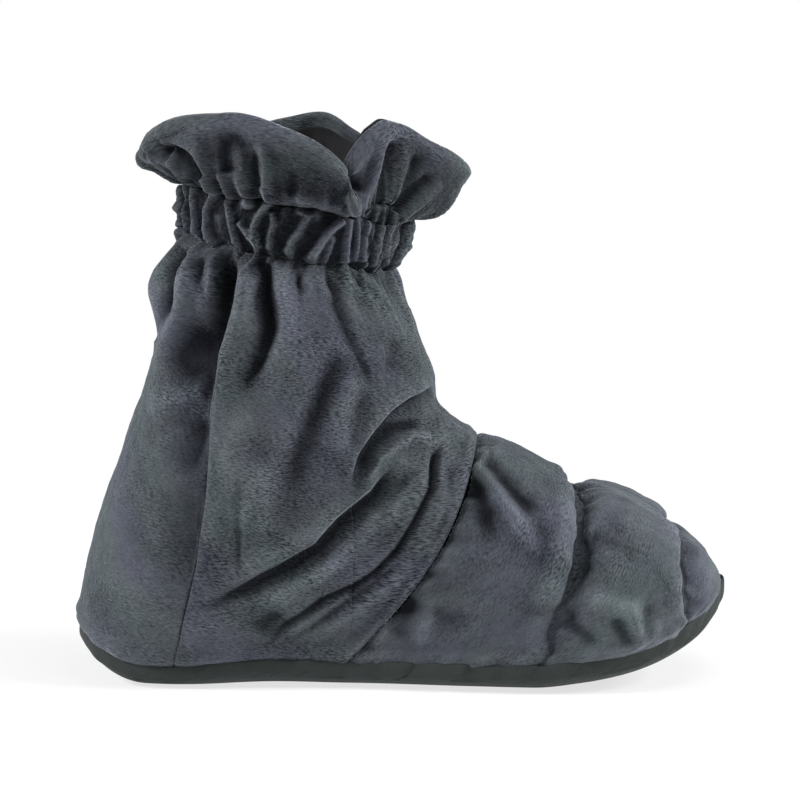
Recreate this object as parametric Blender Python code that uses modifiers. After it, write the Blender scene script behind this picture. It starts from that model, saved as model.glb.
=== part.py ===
"""One microwave heat slipper: a plush ankle bootie with grain-filled channels.

The slipper is built as the sewn pieces it comes apart into: a taped sole sandwich with
three grain pads, a quilted vamp with three grain channels, four plush shaft panels, a
gathered elastic casing and a flared ruffle, with a thin dark lining inside them all.
Lengths are metres. The toe points along +X, the sole lies on z = 0 and -Y is the
right-hand side. Every surface is a loft through sections worked out from the sizes below.
"""

import math

import bpy
import numpy as np

# Sole sizes
SOLE_LENGTH = 0.288
SOLE_HALF_WIDTH = 0.050
TOE_SPRING = 0.031
HEEL_SPRING = 0.0145
EDGE_CURL = 0.0065
CURL_WIDTH = 0.018
TAPE_LIP = 0.0065

# Foot and ankle sizes
INSTEP_SETBACK = 0.110
INSTEP_HEIGHT = 0.1065
ANKLE_HALF_WIDTH = 0.051
SIDE_BULGE = 0.006
COLLAR_SETBACK = 0.0432
COLLAR_LENGTH = 0.0995
COLLAR_WIDTH = 0.088
COLLAR_HEIGHT = 0.189
COLLAR_TILT = 0.0088

# Cuff sizes
CASING_HEIGHT = 0.0225
CASING_FLARE = 0.004
CASING_PLEAT = 0.0045
RUFFLE_HEIGHT = 0.043
RUFFLE_PLEAT = 0.0030
ELASTIC_HEIGHT = 0.018

# Cloth thicknesses and clearances
PLUSH = 0.0025
LINING = 0.0010
OUTSOLE = 0.0015
FOOTBED = 0.0015
TAPE = 0.0008
ELASTIC = 0.0012
GAP = 0.0005
SEAM_GAP = 0.0008
LAYER_GAP = 0.0005

# Grain channel heights and fold depths
VAMP_PUFFS = (0.0035, 0.0060, 0.0032)
QUILT_BOW = 0.0105
SOLE_PUFF = 0.0080
FOLD_DEPTH = 0.0130
SEAM_GROOVE = 0.0012

# Seam angles round the ankle in degrees, from the toe side towards the heel
FRONT_SEAM_ANGLE = 67.0
HEEL_SEAM_ANGLE = 116.0
BACK_ANGLE = 180.0

# Edge of the sole from heel to toe, as shares of its length and half width
SOLE_OUTLINE_SHARES = (
    (0.000, 0.00), (0.016, 0.40), (0.080, 0.70), (0.180, 0.80), (0.310, 0.78), (0.450, 0.81),
    (0.600, 0.93), (0.730, 1.00), (0.850, 0.93), (0.940, 0.69), (0.986, 0.37), (1.000, 0.00),
)
# How far the sole's edge curls up along its length, and how its toe turns up
EDGE_CURL_SHARES = ((0.00, 0.55), (0.14, 0.52), (0.31, 1.00), (0.42, 0.82), (0.75, 0.95), (1.00, 0.60))
TOE_SPRING_SHARES = (
    (0.000, 0.00), (0.700, 0.00), (0.775, 0.07), (0.825, 0.15), (0.870, 0.255), (0.915, 0.410),
    (0.960, 0.64), (1.000, 1.00),
)
HEEL_BREAK_SHARE = 0.11

# Rings of the ankle between instep and collar: front x, front z, back x, back z, half
# width, and degrees by which the front seam runs ahead of its place at the collar
ANKLE_RING_SHARES = (
    (0.640, 0.135, 0.046, 0.240, 0.88, 7),
    (0.485, 0.216, 0.273, 0.410, 1.00, 10),
    (0.450, 0.378, 0.567, 0.580, 1.00, 10),
    (0.250, 0.630, 0.764, 0.745, 0.90, 5),
    (0.080, 0.860, 0.637, 0.890, 0.65, 1),
    (0.000, 1.000, 1.000, 1.000, 0.00, 0),
)
BULGE_PLACE_SHARE = 0.28
BULGE_WEIGHTS = (0.0, 0.6, 1.0, 0.3)

# Crest line of the vamp from instep to toe, and the places of its quilting lines
CREST_SHARES = (
    (0.00, 0.000, 1.000), (0.22, 0.190, 0.825), (0.45, 0.380, 0.665), (0.62, 0.590, 0.525),
    (0.78, 0.785, 0.380), (0.90, 0.882, 0.200), (0.95, 0.938, 0.090), (1.00, 1.000, 0.000),
)
QUILT_SHARES = (0.0, 0.45, 0.78, 1.0)
QUILT_FOOT_SHARES = (0.416, 0.726, 0.944, 1.0)
HEEL_SEAM_FOOT_SHARE = 0.153
QUILT_BOW_SHARES = (1.0, 0.6, 0.25, 0.0)
SECTION_WIDTH_POWER = 0.72
SECTION_RISE_POWER = 0.88
SECTION_BULGE_SHARE = 0.07
PUFF_POWER = 2.4
PUFF_EDGE_POWER = 0.40
PUFF_SIDE_SHARE = 0.60

# Sole pads: start and end along the length, and height
SOLE_PAD_SHARES = (("heel", 0.10, 0.36, 1.0), ("arch", 0.385, 0.60, 0.75), ("ball", 0.625, 0.90, 0.9))
PAD_FADE_SHARE = 0.05

# Gathers below the collar, away from the near side: angle, widths either side of it in
# degrees, depth, reach down the panel and drift of the angle over that reach
GATHER_SHARES = (
    (171, 5, 9, 0.55, 0.34, 5), (189, 8, 5, 0.45, 0.30, -6), (206, 7, 11, 0.62, 0.42, 8),
    (226, 9, 6, 0.66, 0.56, 10), (249, 6, 9, 0.55, 0.36, -5), (268, 10, 6, 0.70, 0.52, 9),
    (291, 6, 8, 0.45, 0.34, 0), (312, 8, 6, 0.50, 0.30, -7), (334, 7, 9, 0.36, 0.26, 5),
    (357, 6, 8, 0.30, 0.22, -4), (17, 7, 6, 0.28, 0.20, 3),
)
# Folds seen from the side, drawn downwards: side (-1 is the near one), depth (a ridge is
# negative), widths left and right of the way the line runs, shares of the line over which
# it fades in and out, and points as shares of the sole's length and the collar's height
FOLDS = (
    (-1, 0.62, 0.014, 0.020, 0.05, 0.50, ((0.149, 1.020), (0.141, 0.977), (0.140, 0.923),
        (0.129, 0.855), (0.115, 0.786))),
    (-1, -0.28, 0.020, 0.016, 0.10, 0.50, ((0.175, 1.040), (0.170, 0.986), (0.164, 0.939),
        (0.147, 0.865), (0.122, 0.791), (0.106, 0.706))),
    (-1, 0.81, 0.017, 0.050, 0.05, 0.35, ((0.234, 1.021), (0.229, 0.954), (0.216, 0.879),
        (0.199, 0.807), (0.188, 0.748), (0.184, 0.704))),
    (-1, -0.28, 0.044, 0.016, 0.10, 0.40, ((0.261, 1.017), (0.259, 0.953), (0.251, 0.890),
        (0.236, 0.829), (0.222, 0.779), (0.214, 0.712), (0.211, 0.610), (0.209, 0.519))),
    (-1, 0.69, 0.014, 0.023, 0.05, 0.50, ((0.287, 1.010), (0.288, 0.958), (0.284, 0.898),
        (0.277, 0.841), (0.263, 0.790), (0.251, 0.731))),
    (-1, -0.23, 0.047, 0.016, 0.10, 0.50, ((0.318, 1.001), (0.312, 0.929), (0.307, 0.865),
        (0.295, 0.802), (0.276, 0.732))),
    (-1, 0.54, 0.037, 0.011, 0.02, 0.25, ((0.539, 0.662), (0.513, 0.652), (0.485, 0.625),
        (0.459, 0.586), (0.438, 0.549), (0.424, 0.502), (0.418, 0.461))),
    (-1, -0.14, 0.012, 0.023, 0.10, 0.30, ((0.527, 0.677), (0.497, 0.658), (0.468, 0.629),
        (0.443, 0.592), (0.426, 0.543), (0.412, 0.496))),
    (-1, -0.18, 0.014, 0.037, 0.25, 0.20, ((0.418, 0.467), (0.394, 0.424), (0.366, 0.380),
        (0.337, 0.337), (0.304, 0.289), (0.264, 0.255), (0.226, 0.226), (0.188, 0.207))),
    (-1, 0.54, 0.027, 0.014, 0.15, 0.30, ((0.477, 0.521), (0.457, 0.463), (0.427, 0.410),
        (0.390, 0.373), (0.361, 0.326), (0.321, 0.270), (0.274, 0.226), (0.227, 0.193),
        (0.189, 0.173))),
    (-1, -0.26, 0.022, 0.037, 0.15, 0.15, ((0.501, 0.502), (0.484, 0.431), (0.442, 0.354),
        (0.387, 0.267), (0.335, 0.189), (0.292, 0.116))),
    (-1, 0.38, 0.012, 0.016, 0.05, 0.10, ((0.549, 0.553), (0.544, 0.493), (0.534, 0.435),
        (0.513, 0.380), (0.481, 0.325), (0.442, 0.275), (0.402, 0.228), (0.362, 0.182),
        (0.323, 0.129), (0.282, 0.067))),
    (-1, -0.23, 0.019, 0.023, 0.15, 0.10, ((0.559, 0.480), (0.556, 0.418), (0.525, 0.343),
        (0.485, 0.265), (0.439, 0.210), (0.396, 0.143), (0.371, 0.098))),
    (-1, 0.38, 0.027, 0.036, 0.40, 0.30, ((0.318, 0.205), (0.294, 0.166), (0.273, 0.123))),
    (1, 0.40, 0.034, 0.012, 0.02, 0.25, ((0.545, 0.665), (0.505, 0.640), (0.463, 0.580),
        (0.425, 0.520), (0.400, 0.440))),
    (1, -0.16, 0.012, 0.034, 0.25, 0.20, ((0.395, 0.440), (0.350, 0.360), (0.290, 0.290), (0.215, 0.245))),
    (1, 0.44, 0.026, 0.013, 0.12, 0.30, ((0.505, 0.540), (0.455, 0.455), (0.390, 0.370), (0.310, 0.285),
        (0.220, 0.215))),
    (1, -0.22, 0.022, 0.032, 0.15, 0.15, ((0.515, 0.480), (0.450, 0.360), (0.370, 0.250), (0.300, 0.150))),
    (1, 0.32, 0.013, 0.015, 0.08, 0.15, ((0.550, 0.500), (0.500, 0.370), (0.430, 0.265), (0.350, 0.175),
        (0.290, 0.090))),
)
FOLD_FADE_POWER = 0.7
FOLD_SHARPNESS = 1.3
FOLD_LEAST_SHARE = 0.034

# Ruffle rim: angle in degrees, then reach outward, reach sideways and rise
RUFFLE_RIM_SHARES = (
    (0, 0.46, 0.00, 0.54), (9, 0.39, 0.00, 0.65), (19, 0.21, 0.00, 0.80), (29, 0.06, 0.00, 0.97),
    (40, 0.02, 0.00, 1.00), (50, 0.05, 0.05, 0.92), (57, 0.14, 0.06, 0.56), (63, 0.26, 0.00, 0.16),
    (69, 0.30, -0.04, 0.44), (78, 0.34, 0.00, 0.66), (90, 0.34, 0.00, 0.77), (106, 0.30, 0.00, 0.84),
    (122, 0.26, 0.00, 0.79), (138, 0.26, 0.00, 0.71), (154, 0.30, 0.00, 0.56), (168, 0.35, 0.00, 0.32),
    (180, 0.40, 0.00, 0.18), (196, 0.32, 0.00, 0.40), (212, 0.34, 0.00, 0.60), (228, 0.42, 0.00, 0.50),
    (246, 0.34, 0.00, 0.60), (264, 0.35, 0.00, 0.78), (280, 0.34, 0.00, 0.90), (294, 0.34, 0.00, 0.76),
    (310, 0.40, 0.00, 0.50), (326, 0.24, 0.00, 0.66), (343, 0.38, 0.00, 0.60),
)
# Folds down the ruffle: angle, width in degrees, then depth near its foot and at its rim,
# where a ridge is negative
RUFFLE_FOLD_SHARES = (
    (24, 6, 0.10, 0.02), (36, 7, 0.15, 0.09), (47, 7, -0.07, -0.05), (75, 8, 0.13, 0.02),
    (91, 9, -0.09, -0.06), (106, 8, 0.17, 0.10), (128, 9, 0.12, 0.04), (148, 9, 0.14, 0.03),
    (168, 8, 0.10, 0.05), (187, 8, 0.13, 0.04), (205, 9, -0.08, -0.05), (221, 8, 0.15, 0.08),
    (239, 9, -0.06, -0.05), (256, 8, 0.14, 0.07), (274, 9, -0.07, -0.05), (292, 8, 0.15, 0.08),
    (316, 8, 0.12, 0.04), (340, 8, 0.12, 0.05), (3, 8, -0.06, -0.04),
)
RUFFLE_STAND_SHARE = 0.05
RUFFLE_LEAN_SHARE = 0.90

# Mesh densities
FRONT_COLUMNS = 20
SIDE_COLUMNS = 12
HEEL_COLUMNS = 22
ANKLE_ROWS = 22
LINING_COLUMNS = 24
LINING_ROWS = 8
CHANNEL_ROWS = (8, 7, 5)
VAMP_COLUMNS = 20
CASING_PLEATS = 26
CASING_COLUMNS = 4 * CASING_PLEATS
CASING_ROWS = 3
RUFFLE_PLEATS = 12
RUFFLE_COLUMNS = 72
RUFFLE_ROWS = 5
ELASTIC_COLUMNS = 36
EDGE_STATIONS = 36
PAD_ROWS = 8
CURVE_SAMPLES = 400
MERGE = 1e-5

PLUSH_GREY = (0.075, 0.085, 0.100)
LINING_BLACK = (0.012, 0.012, 0.013)
TAPE_GREY = (0.060, 0.070, 0.068)
SOLE_GREY = (0.045, 0.050, 0.050)
ELASTIC_WHITE = (0.750, 0.740, 0.720)
GRAIN_COTTON = (0.560, 0.500, 0.400)


def clear_scene():
    """Remove whatever the file holds before the slipper is built."""
    for item in list(bpy.data.objects):
        bpy.data.objects.remove(item, do_unlink=True)


def smooth_value(table, place):
    """Value at a place of a table of (place, value) pairs, on a curve that doesn't overshoot."""
    x, y = np.array(table, float).T
    step = np.diff(x)
    slope = np.diff(y) / step
    inner = np.zeros(len(x) - 2)
    rising = slope[:-1] * slope[1:] > 0
    inner[rising] = 2 * (slope[:-1] * slope[1:])[rising] / (slope[:-1] + slope[1:])[rising]
    tangent = np.concatenate([[slope[0]], inner, [slope[-1]]])
    place = np.asarray(place, float)
    span = np.clip(np.searchsorted(x, place, side="right") - 1, 0, len(step) - 1)
    t = (place - x[span]) / step[span]
    h = step[span]
    return (
        y[span] * (1 + 2 * t) * (1 - t) ** 2
        + tangent[span] * h * t * (1 - t) ** 2
        + y[span + 1] * t**2 * (3 - 2 * t)
        + tangent[span + 1] * h * t**2 * (t - 1)
    )


def periodic_value(table, angle):
    """Value of a table that repeats every full turn, at an angle in degrees."""
    turn = 2 * BACK_ANGLE
    whole = [(a + k * turn, v) for k in (-1, 0, 1) for a, v in table]
    return smooth_value(whole, np.mod(angle, turn))


def curve_through(points, samples, closed=False):
    """Catmull-Rom curve through points, with so many samples in each span."""
    points = np.asarray(points, float)
    if closed:
        padded = np.vstack([points[-1:], points, points[:2]])
    else:
        padded = np.vstack([2 * points[0] - points[1], points, 2 * points[-1] - points[-2]])
    t = np.linspace(0, 1, samples, endpoint=False)[:, None]
    spans = []
    for a, b, c, d in zip(padded, padded[1:], padded[2:], padded[3:]):
        spans.append(0.5 * (2 * b + (c - a) * t + (2 * a - 5 * b + 4 * c - d) * t**2
                            + (3 * b - a - 3 * c + d) * t**3))
    return np.vstack(spans + ([] if closed else [points[-1:]]))


def at_shares(line, shares):
    """Points at shares of a polyline's length."""
    length = np.concatenate([[0], np.cumsum(np.linalg.norm(np.diff(line, axis=0), axis=1))])
    return np.stack([np.interp(shares, length / length[-1], axis) for axis in line.T], axis=-1)


def unit(vectors):
    """Vectors scaled to length one."""
    return vectors / np.maximum(np.linalg.norm(vectors, axis=-1, keepdims=True), 1e-12)


def half_outline():
    """Right edge of the sole from heel to toe, as evenly spaced x and half width."""
    half = np.array(SOLE_OUTLINE_SHARES) * (SOLE_LENGTH, SOLE_HALF_WIDTH)
    ring = np.vstack([half, half[-2:0:-1] * (1, -1)])
    samples = CURVE_SAMPLES // len(half)
    dense = curve_through(ring, samples, closed=True)[: samples * (len(half) - 1) + 1]
    return at_shares(dense, np.linspace(0, 1, CURVE_SAMPLES))


OUTLINE = half_outline()


def edge_share_at(x):
    """Share of the half outline at which the edge reaches x."""
    return np.interp(x, OUTLINE[:, 0], np.linspace(0, 1, CURVE_SAMPLES))


def edge_points(shares, inward=0.0):
    """Plan points of the right edge at shares of its length, moved inward by a distance."""
    places = np.linspace(0, 1, CURVE_SAMPLES)
    point = np.stack([np.interp(shares, places, axis) for axis in OUTLINE.T], axis=-1)
    slope = np.gradient(OUTLINE, axis=0)
    along = unit(np.stack([np.interp(shares, places, axis) for axis in slope.T], axis=-1))
    inner = point + inward * np.stack([along[..., 1], -along[..., 0]], axis=-1)
    return np.stack([inner[..., 0], np.maximum(inner[..., 1], 0.0)], axis=-1)


def sole_height(x, inward):
    """Height of the outsole's underside at x, a distance inward from the edge."""
    share = np.clip(x / SOLE_LENGTH, 0, 1)
    toe = smooth_value(TOE_SPRING_SHARES, share)
    heel = np.maximum(0, 1 - share / HEEL_BREAK_SHARE) ** 2
    curl = smooth_value(EDGE_CURL_SHARES, share) * np.maximum(0, 1 - inward / CURL_WIDTH) ** 2
    return TOE_SPRING * toe + HEEL_SPRING * heel + EDGE_CURL * curl


def edge_stack():
    """Heights above the outsole's underside of the layers held in the tape."""
    footbed = OUTSOLE + GAP
    tape_top = footbed + FOOTBED + GAP + TAPE
    return {"tape": -GAP - TAPE, "footbed": footbed, "tape_top": tape_top, "upper": tape_top + GAP}


def on_edge(shares, inward, level):
    """Points of the right edge in space, inward by a distance and at a level of the stack."""
    plan = edge_points(shares, inward)
    height = sole_height(plan[..., 0], inward) + level
    return np.stack([plan[..., 0], -plan[..., 1], height], axis=-1)


def mirrored(points):
    """Points reflected in the slipper's middle plane."""
    return points * (1, -1, 1)


def grid_normals(grid, closed):
    """Outward unit normals of a grid of rows and columns."""
    down = np.gradient(grid, axis=0)
    if closed:
        across = (np.roll(grid, -1, axis=1) - np.roll(grid, 1, axis=1)) / 2
    else:
        across = np.gradient(grid, axis=1)
    return unit(np.cross(down, across))


def mesh_object(name, points, faces, material):
    """Object from points and faces, with doubled points merged and normals facing out."""
    mesh = bpy.data.meshes.new(name)
    mesh.from_pydata([tuple(p) for p in points], [], faces)
    shape = bpy.data.objects.new(name, mesh)
    SLIPPER.objects.link(shape)
    weld = shape.modifiers.new("weld", "WELD")
    weld.merge_threshold = MERGE
    mesh.materials.append(material)
    mesh.shade_smooth()
    return shape


def grid_faces(rows, columns, closed_rows, closed_columns, start=0):
    """Quads of a grid of points, wrapped round where it is closed."""
    faces = []
    for i in range(rows if closed_rows else rows - 1):
        for j in range(columns if closed_columns else columns - 1):
            a, b = i * columns, (i + 1) % rows * columns
            k = (j + 1) % columns
            faces.append([start + a + j, start + a + k, start + b + k, start + b + j])
    return faces


def turned(face):
    """The same face seen from its other side, split along the same diagonal."""
    return face[:1] + face[:0:-1]


def cloth(name, grid, thickness, material, closed=False):
    """Sheet of cloth: an open grid whose points lie on its outer face, thickened inward."""
    rows, columns = grid.shape[:2]
    faces = grid_faces(rows, columns, False, closed)
    shape = mesh_object(name, grid.reshape(-1, 3), [turned(face) for face in faces], material)
    shell = shape.modifiers.new("thickness", "SOLIDIFY")
    shell.thickness = thickness
    shell.offset = -1
    return shape


def rim_loops(rows, columns, closed):
    """Indices round the open edges of a grid: one loop, or two where its columns close."""
    first = [(0, j) for j in range(columns)]
    last = [(rows - 1, j) for j in range(columns - 1, -1, -1)]
    right = [] if closed else [(i, columns - 1) for i in range(1, rows - 1)]
    left = [] if closed else [(i, 0) for i in range(rows - 2, 0, -1)]
    loops = [first, last] if closed else [first + right + last + left]
    return [[i * columns + j for i, j in loop] for loop in loops]


def slanted(faces, slants):
    """Faces of a grid, split along their other diagonal in the columns that slant."""
    columns = len(slants)
    return [face[1:] + face[:1] if slants[i % columns] else face for i, face in enumerate(faces)]


def body_between(name, top, bottom, material, closed=False, slants=(False,)):
    """Closed body between two grids of the same size, walled where their rims don't meet themselves."""
    rows, columns = top.shape[:2]
    under = rows * columns
    faces = [turned(face) for face in slanted(grid_faces(rows, columns, False, closed), slants)]
    faces += slanted(grid_faces(rows, columns, False, closed, start=under), slants)
    pairs = [(a, b) for loop in rim_loops(rows, columns, closed) for a, b in zip(loop, loop[1:] + loop[:1])]
    places = [frozenset(tuple(np.round(top[divmod(i, columns)] / MERGE)) for i in pair) for pair in pairs]
    for (a, b), place in zip(pairs, places):
        if places.count(place) == 1:
            faces.append([a, b, b + under, a + under])
    return mesh_object(name, np.vstack([top.reshape(-1, 3), bottom.reshape(-1, 3)]), faces, material)


def section_point(top, foot, angle, bow):
    """Point of the vamp's arch at an angle from the right foot, over the crest, to the left."""
    rise = np.sin(angle) ** SECTION_RISE_POWER
    spread = np.sign(np.cos(angle)) * np.abs(np.cos(angle)) ** SECTION_WIDTH_POWER
    spread = spread * (1 + SECTION_BULGE_SHARE * np.abs(np.sin(2 * angle)))
    x = foot[..., 0] + (top[..., 0] - foot[..., 0]) * rise + bow * np.sin(math.pi * rise)
    z = foot[..., 2] + (top[..., 2] - foot[..., 2]) * rise
    return np.stack([x, foot[..., 1] * spread, z], axis=-1)


def vamp_base(places, columns):
    """Plush face of the vamp before the channels puff it, as rows along the foot."""
    foot_shares = smooth_value(list(zip(QUILT_SHARES, edge_share_at(SOLE_LENGTH * np.array(QUILT_FOOT_SHARES)))), places)
    bow = QUILT_BOW * smooth_value(list(zip(QUILT_SHARES, QUILT_BOW_SHARES)), places)
    foot = on_edge(foot_shares, 0.0, edge_stack()["upper"])
    tip = on_edge(np.array([1.0]), 0.0, edge_stack()["upper"])[0]
    along = smooth_value([(s, x) for s, x, z in CREST_SHARES], places)
    above = smooth_value([(s, z) for s, x, z in CREST_SHARES], places)
    instep_x = SOLE_LENGTH - INSTEP_SETBACK
    top = np.stack([
        instep_x + (tip[0] - instep_x) * along,
        np.zeros(len(places)),
        tip[2] + (INSTEP_HEIGHT - tip[2]) * above,
    ], axis=-1)
    angles = np.linspace(0, math.pi, columns + 1)
    return section_point(top[:, None], foot[:, None], np.clip(angles, 0, math.pi)[None], bow[:, None])


def channel_places():
    """Places of the vamp's rows, channel by channel, with the quilting lines among them."""
    rows = [np.linspace(a, b, n + 1)[:-1] for a, b, n in zip(QUILT_SHARES, QUILT_SHARES[1:], CHANNEL_ROWS)]
    return np.concatenate(rows + [[QUILT_SHARES[-1]]])


def puff_at(places, columns):
    """Height that the grain gives each point of the vamp above its base."""
    channel = np.clip(np.searchsorted(QUILT_SHARES, places, side="right") - 1, 0, len(VAMP_PUFFS) - 1)
    start, end = np.array(QUILT_SHARES)[channel], np.array(QUILT_SHARES)[channel + 1]
    across = np.abs(2 * (places - start) / (end - start) - 1)
    crown = np.array(VAMP_PUFFS)[channel] * (1 - across**PUFF_POWER)
    angles = np.linspace(0, math.pi, columns + 1)
    edge = np.abs(np.sin(angles)) ** PUFF_EDGE_POWER * (1 + PUFF_SIDE_SHARE * np.sin(2 * angles) ** 2)
    return crown[:, None] * edge[None]


def vamp_normals(grid):
    """Outward normals of the vamp, level at its foot and straight ahead at the toe."""
    normals = grid_normals(grid, False)
    normals[:, (0, -1), 2] = 0
    normals[-1] = (1, 0, 0)
    return unit(normals)


def build_vamp(plush, lining, grain):
    """Quilted vamp, its lining and the grain in its three channels."""
    places = channel_places()
    base = vamp_base(places, VAMP_COLUMNS)
    flat = vamp_normals(base)
    puffed = base + flat * puff_at(places, VAMP_COLUMNS)[..., None]
    rear = puffed.copy()
    rear[0] += unit(puffed[1] - puffed[0]) * (SEAM_GAP / 2)
    cloth("quilted_vamp", rear, PLUSH, plush)

    half = slice(None, None, 2)
    depth = PLUSH + LAYER_GAP
    inner = (base - flat * depth)[:, half]
    inner[0] += unit(inner[1] - inner[0]) * (SEAM_GAP / 2)
    cloth("vamp_lining", inner[:-1], LINING, lining)

    raised = vamp_normals(puffed)
    top = (puffed - raised * depth)[:, half]
    bottom = (base - flat * PLUSH)[:, half]
    first = 0
    for name, rows in zip(("instep_pack", "toe_pack", "toe_tip_pack"), CHANNEL_ROWS):
        inside = slice(first + 1, first + rows)
        body_between(name, top[inside, 1:-1], bottom[inside, 1:-1], grain)
        first += rows


def ring(height):
    """Centre, half length and half width of the cuff, a height above the collar."""
    lean = math.atan2(2 * COLLAR_TILT, COLLAR_LENGTH)
    wide = CASING_FLARE * min(height, CASING_HEIGHT) / CASING_HEIGHT
    centre = np.array([
        COLLAR_SETBACK + COLLAR_LENGTH / 2 + height * math.sin(lean), 0,
        COLLAR_HEIGHT + height * math.cos(lean),
    ])
    forward = np.array([COLLAR_LENGTH / 2 + wide, 0, -COLLAR_TILT * (1 + 2 * wide / COLLAR_LENGTH)])
    return centre, forward, COLLAR_WIDTH / 2 + wide


def cuff_ring(height, angles):
    """Points of the cuff at angles in degrees, a height above the collar."""
    centre, forward, half_width = ring(height)
    turn = np.radians(angles)[..., None]
    return centre + forward * np.cos(turn) - np.array([0, half_width, 0]) * np.sin(turn)


def cuff_outward(angles):
    """Level directions pointing out of the cuff at angles in degrees."""
    turn = np.radians(angles)
    out = np.stack([np.cos(turn) * COLLAR_WIDTH, -np.sin(turn) * COLLAR_LENGTH, 0 * turn], axis=-1)
    return unit(out)


def ankle_rings():
    """Front point, back point, half width and seam shift of each ring up to the collar."""
    centre, forward, half_width = ring(0)
    front, back = centre + forward, centre - forward
    instep = np.array([SOLE_LENGTH - INSTEP_SETBACK, 0, INSTEP_HEIGHT])
    found = []
    for fx, fz, bx, bz, wide, shift in ANKLE_RING_SHARES:
        ahead = (front[0] + (instep[0] - front[0]) * fx, 0, instep[2] + (front[2] - instep[2]) * fz)
        behind = (back[0] * bx, 0, back[2] * bz)
        girth = half_width + (ANKLE_HALF_WIDTH - half_width) * wide
        found.append((np.array(ahead), np.array(behind), girth, shift))
    return found


def ankle_foot(angle):
    """Lower end of the ankle's column at an angle from 0 to 180 degrees: seam or sole edge."""
    corner = edge_share_at(SOLE_LENGTH * QUILT_FOOT_SHARES[0])
    seam = edge_share_at(SOLE_LENGTH * HEEL_SEAM_FOOT_SHARE)
    level = edge_stack()["upper"]
    if angle <= FRONT_SEAM_ANGLE:
        foot = on_edge(np.array([corner]), 0.0, level)[0]
        top = np.array([SOLE_LENGTH - INSTEP_SETBACK, 0, INSTEP_HEIGHT])
        arch = math.pi / 2 * (1 - angle / FRONT_SEAM_ANGLE)
        return section_point(top, foot, arch, QUILT_BOW * QUILT_BOW_SHARES[0])
    stops = (FRONT_SEAM_ANGLE, HEEL_SEAM_ANGLE, BACK_ANGLE)
    share = np.interp(angle, stops, (corner, seam, 0.0))
    return on_edge(np.array([share]), 0.0, level)[0]


def ankle_column(angle, shares):
    """Points up the ankle at an angle, at shares of the way from foot to collar."""
    turn = angle if angle <= BACK_ANGLE else 2 * BACK_ANGLE - angle
    stops = (0, FRONT_SEAM_ANGLE, HEEL_SEAM_ANGLE, BACK_ANGLE)
    foot = ankle_foot(turn)
    line = [foot]
    for front, back, half_width, shift in ankle_rings():
        at = math.radians(turn - shift * np.interp(turn, stops, (0, 1, 0, 0)))
        across = np.array([0, half_width * math.sin(at), 0])
        line.append((front + back) / 2 + (front - back) / 2 * math.cos(at) - across)
    weight = smooth_value(list(zip(stops, BULGE_WEIGHTS)), turn)
    outward = cuff_outward(np.array(turn))
    bulge = foot + (line[1] - foot) * BULGE_PLACE_SHARE + outward * SIDE_BULGE * weight
    line.insert(1, bulge)
    column = at_shares(curve_through(line, CURVE_SAMPLES // 10), shares)
    return column if angle <= BACK_ANGLE else mirrored(column)


def ankle_angles():
    """Angles of the ankle's columns, panel by panel, once round from the toe side."""
    side, turn = HEEL_SEAM_ANGLE, 2 * BACK_ANGLE
    stops = (
        (0, FRONT_SEAM_ANGLE, FRONT_COLUMNS // 2), (FRONT_SEAM_ANGLE, side, SIDE_COLUMNS),
        (side, turn - side, HEEL_COLUMNS), (turn - side, turn - FRONT_SEAM_ANGLE, SIDE_COLUMNS),
        (turn - FRONT_SEAM_ANGLE, turn, FRONT_COLUMNS // 2),
    )
    return np.concatenate([np.linspace(a, b, n, endpoint=False) for a, b, n in stops])


def fold_envelope(shares):
    """Share of the full fold depth that a row can have, from the sewn foot to the collar."""
    return smooth_value(((0, 0), (0.10, 0.45), (0.25, 0.95), (0.5, 1), (0.93, 1), (1, 0.5)), shares)


def along_line(points, line):
    """Least distance from side view points to a polyline, its side (left is positive) and its share."""
    least = np.full(points.shape[:-1], np.inf)
    side, share = np.zeros(least.shape), np.zeros(least.shape)
    length = np.concatenate([[0], np.cumsum(np.linalg.norm(np.diff(line, axis=0), axis=1))])
    for i, (a, b) in enumerate(zip(line, line[1:])):
        way, off = b - a, points - a
        t = np.clip(off @ way / (way @ way), 0, 1)
        distance = np.linalg.norm(off - t[..., None] * way, axis=-1)
        nearer = distance < least
        least = np.where(nearer, distance, least)
        side = np.where(nearer, way[0] * off[..., 1] - way[1] * off[..., 0], side)
        share = np.where(nearer, (length[i] + t * (length[i + 1] - length[i])) / length[-1], share)
    return least, side, share


def fold_profile(off, left, right):
    """Share of a fold's depth at a signed distance off its line, with a width for either side."""
    return np.exp(-((FOLD_SHARPNESS * off / np.where(off > 0, left, right)) ** 2))


def fold_shares(grid, angles, shares):
    """How deep each point of the ankle lies in the folds: over 0 in a valley, under 0 on a ridge."""
    deep = np.zeros(grid.shape[:2])
    below = 1 - shares[:, None]
    for angle, left, right, depth, reach, drift in GATHER_SHARES:
        turned_by = angles[None] - angle - drift * below / reach
        off = np.mod(turned_by + BACK_ANGLE, 2 * BACK_ANGLE) - BACK_ANGLE
        widening = 1 + below / reach
        fade = np.clip(1 - below / reach, 0, 1) ** FOLD_FADE_POWER
        deep += depth * fade * fold_profile(off / widening, left, right)
    for side, depth, left, right, start, end, line in FOLDS:
        scaled = np.array(line) * (SOLE_LENGTH, COLLAR_HEIGHT)
        distance, hand, share = along_line(grid[..., (0, 2)], scaled)
        this_side = np.clip(2 * side * grid[..., 1] / ANKLE_HALF_WIDTH, 0, 1)
        fade = np.clip(share / start, 0, 1) * np.clip((1 - share) / end, 0, 1)
        left, right = (SOLE_LENGTH * max(width, FOLD_LEAST_SHARE) for width in (left, right))
        profile = fold_profile(np.copysign(distance, hand), left, right)
        deep += depth * this_side * fade * profile
    return deep


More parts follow.
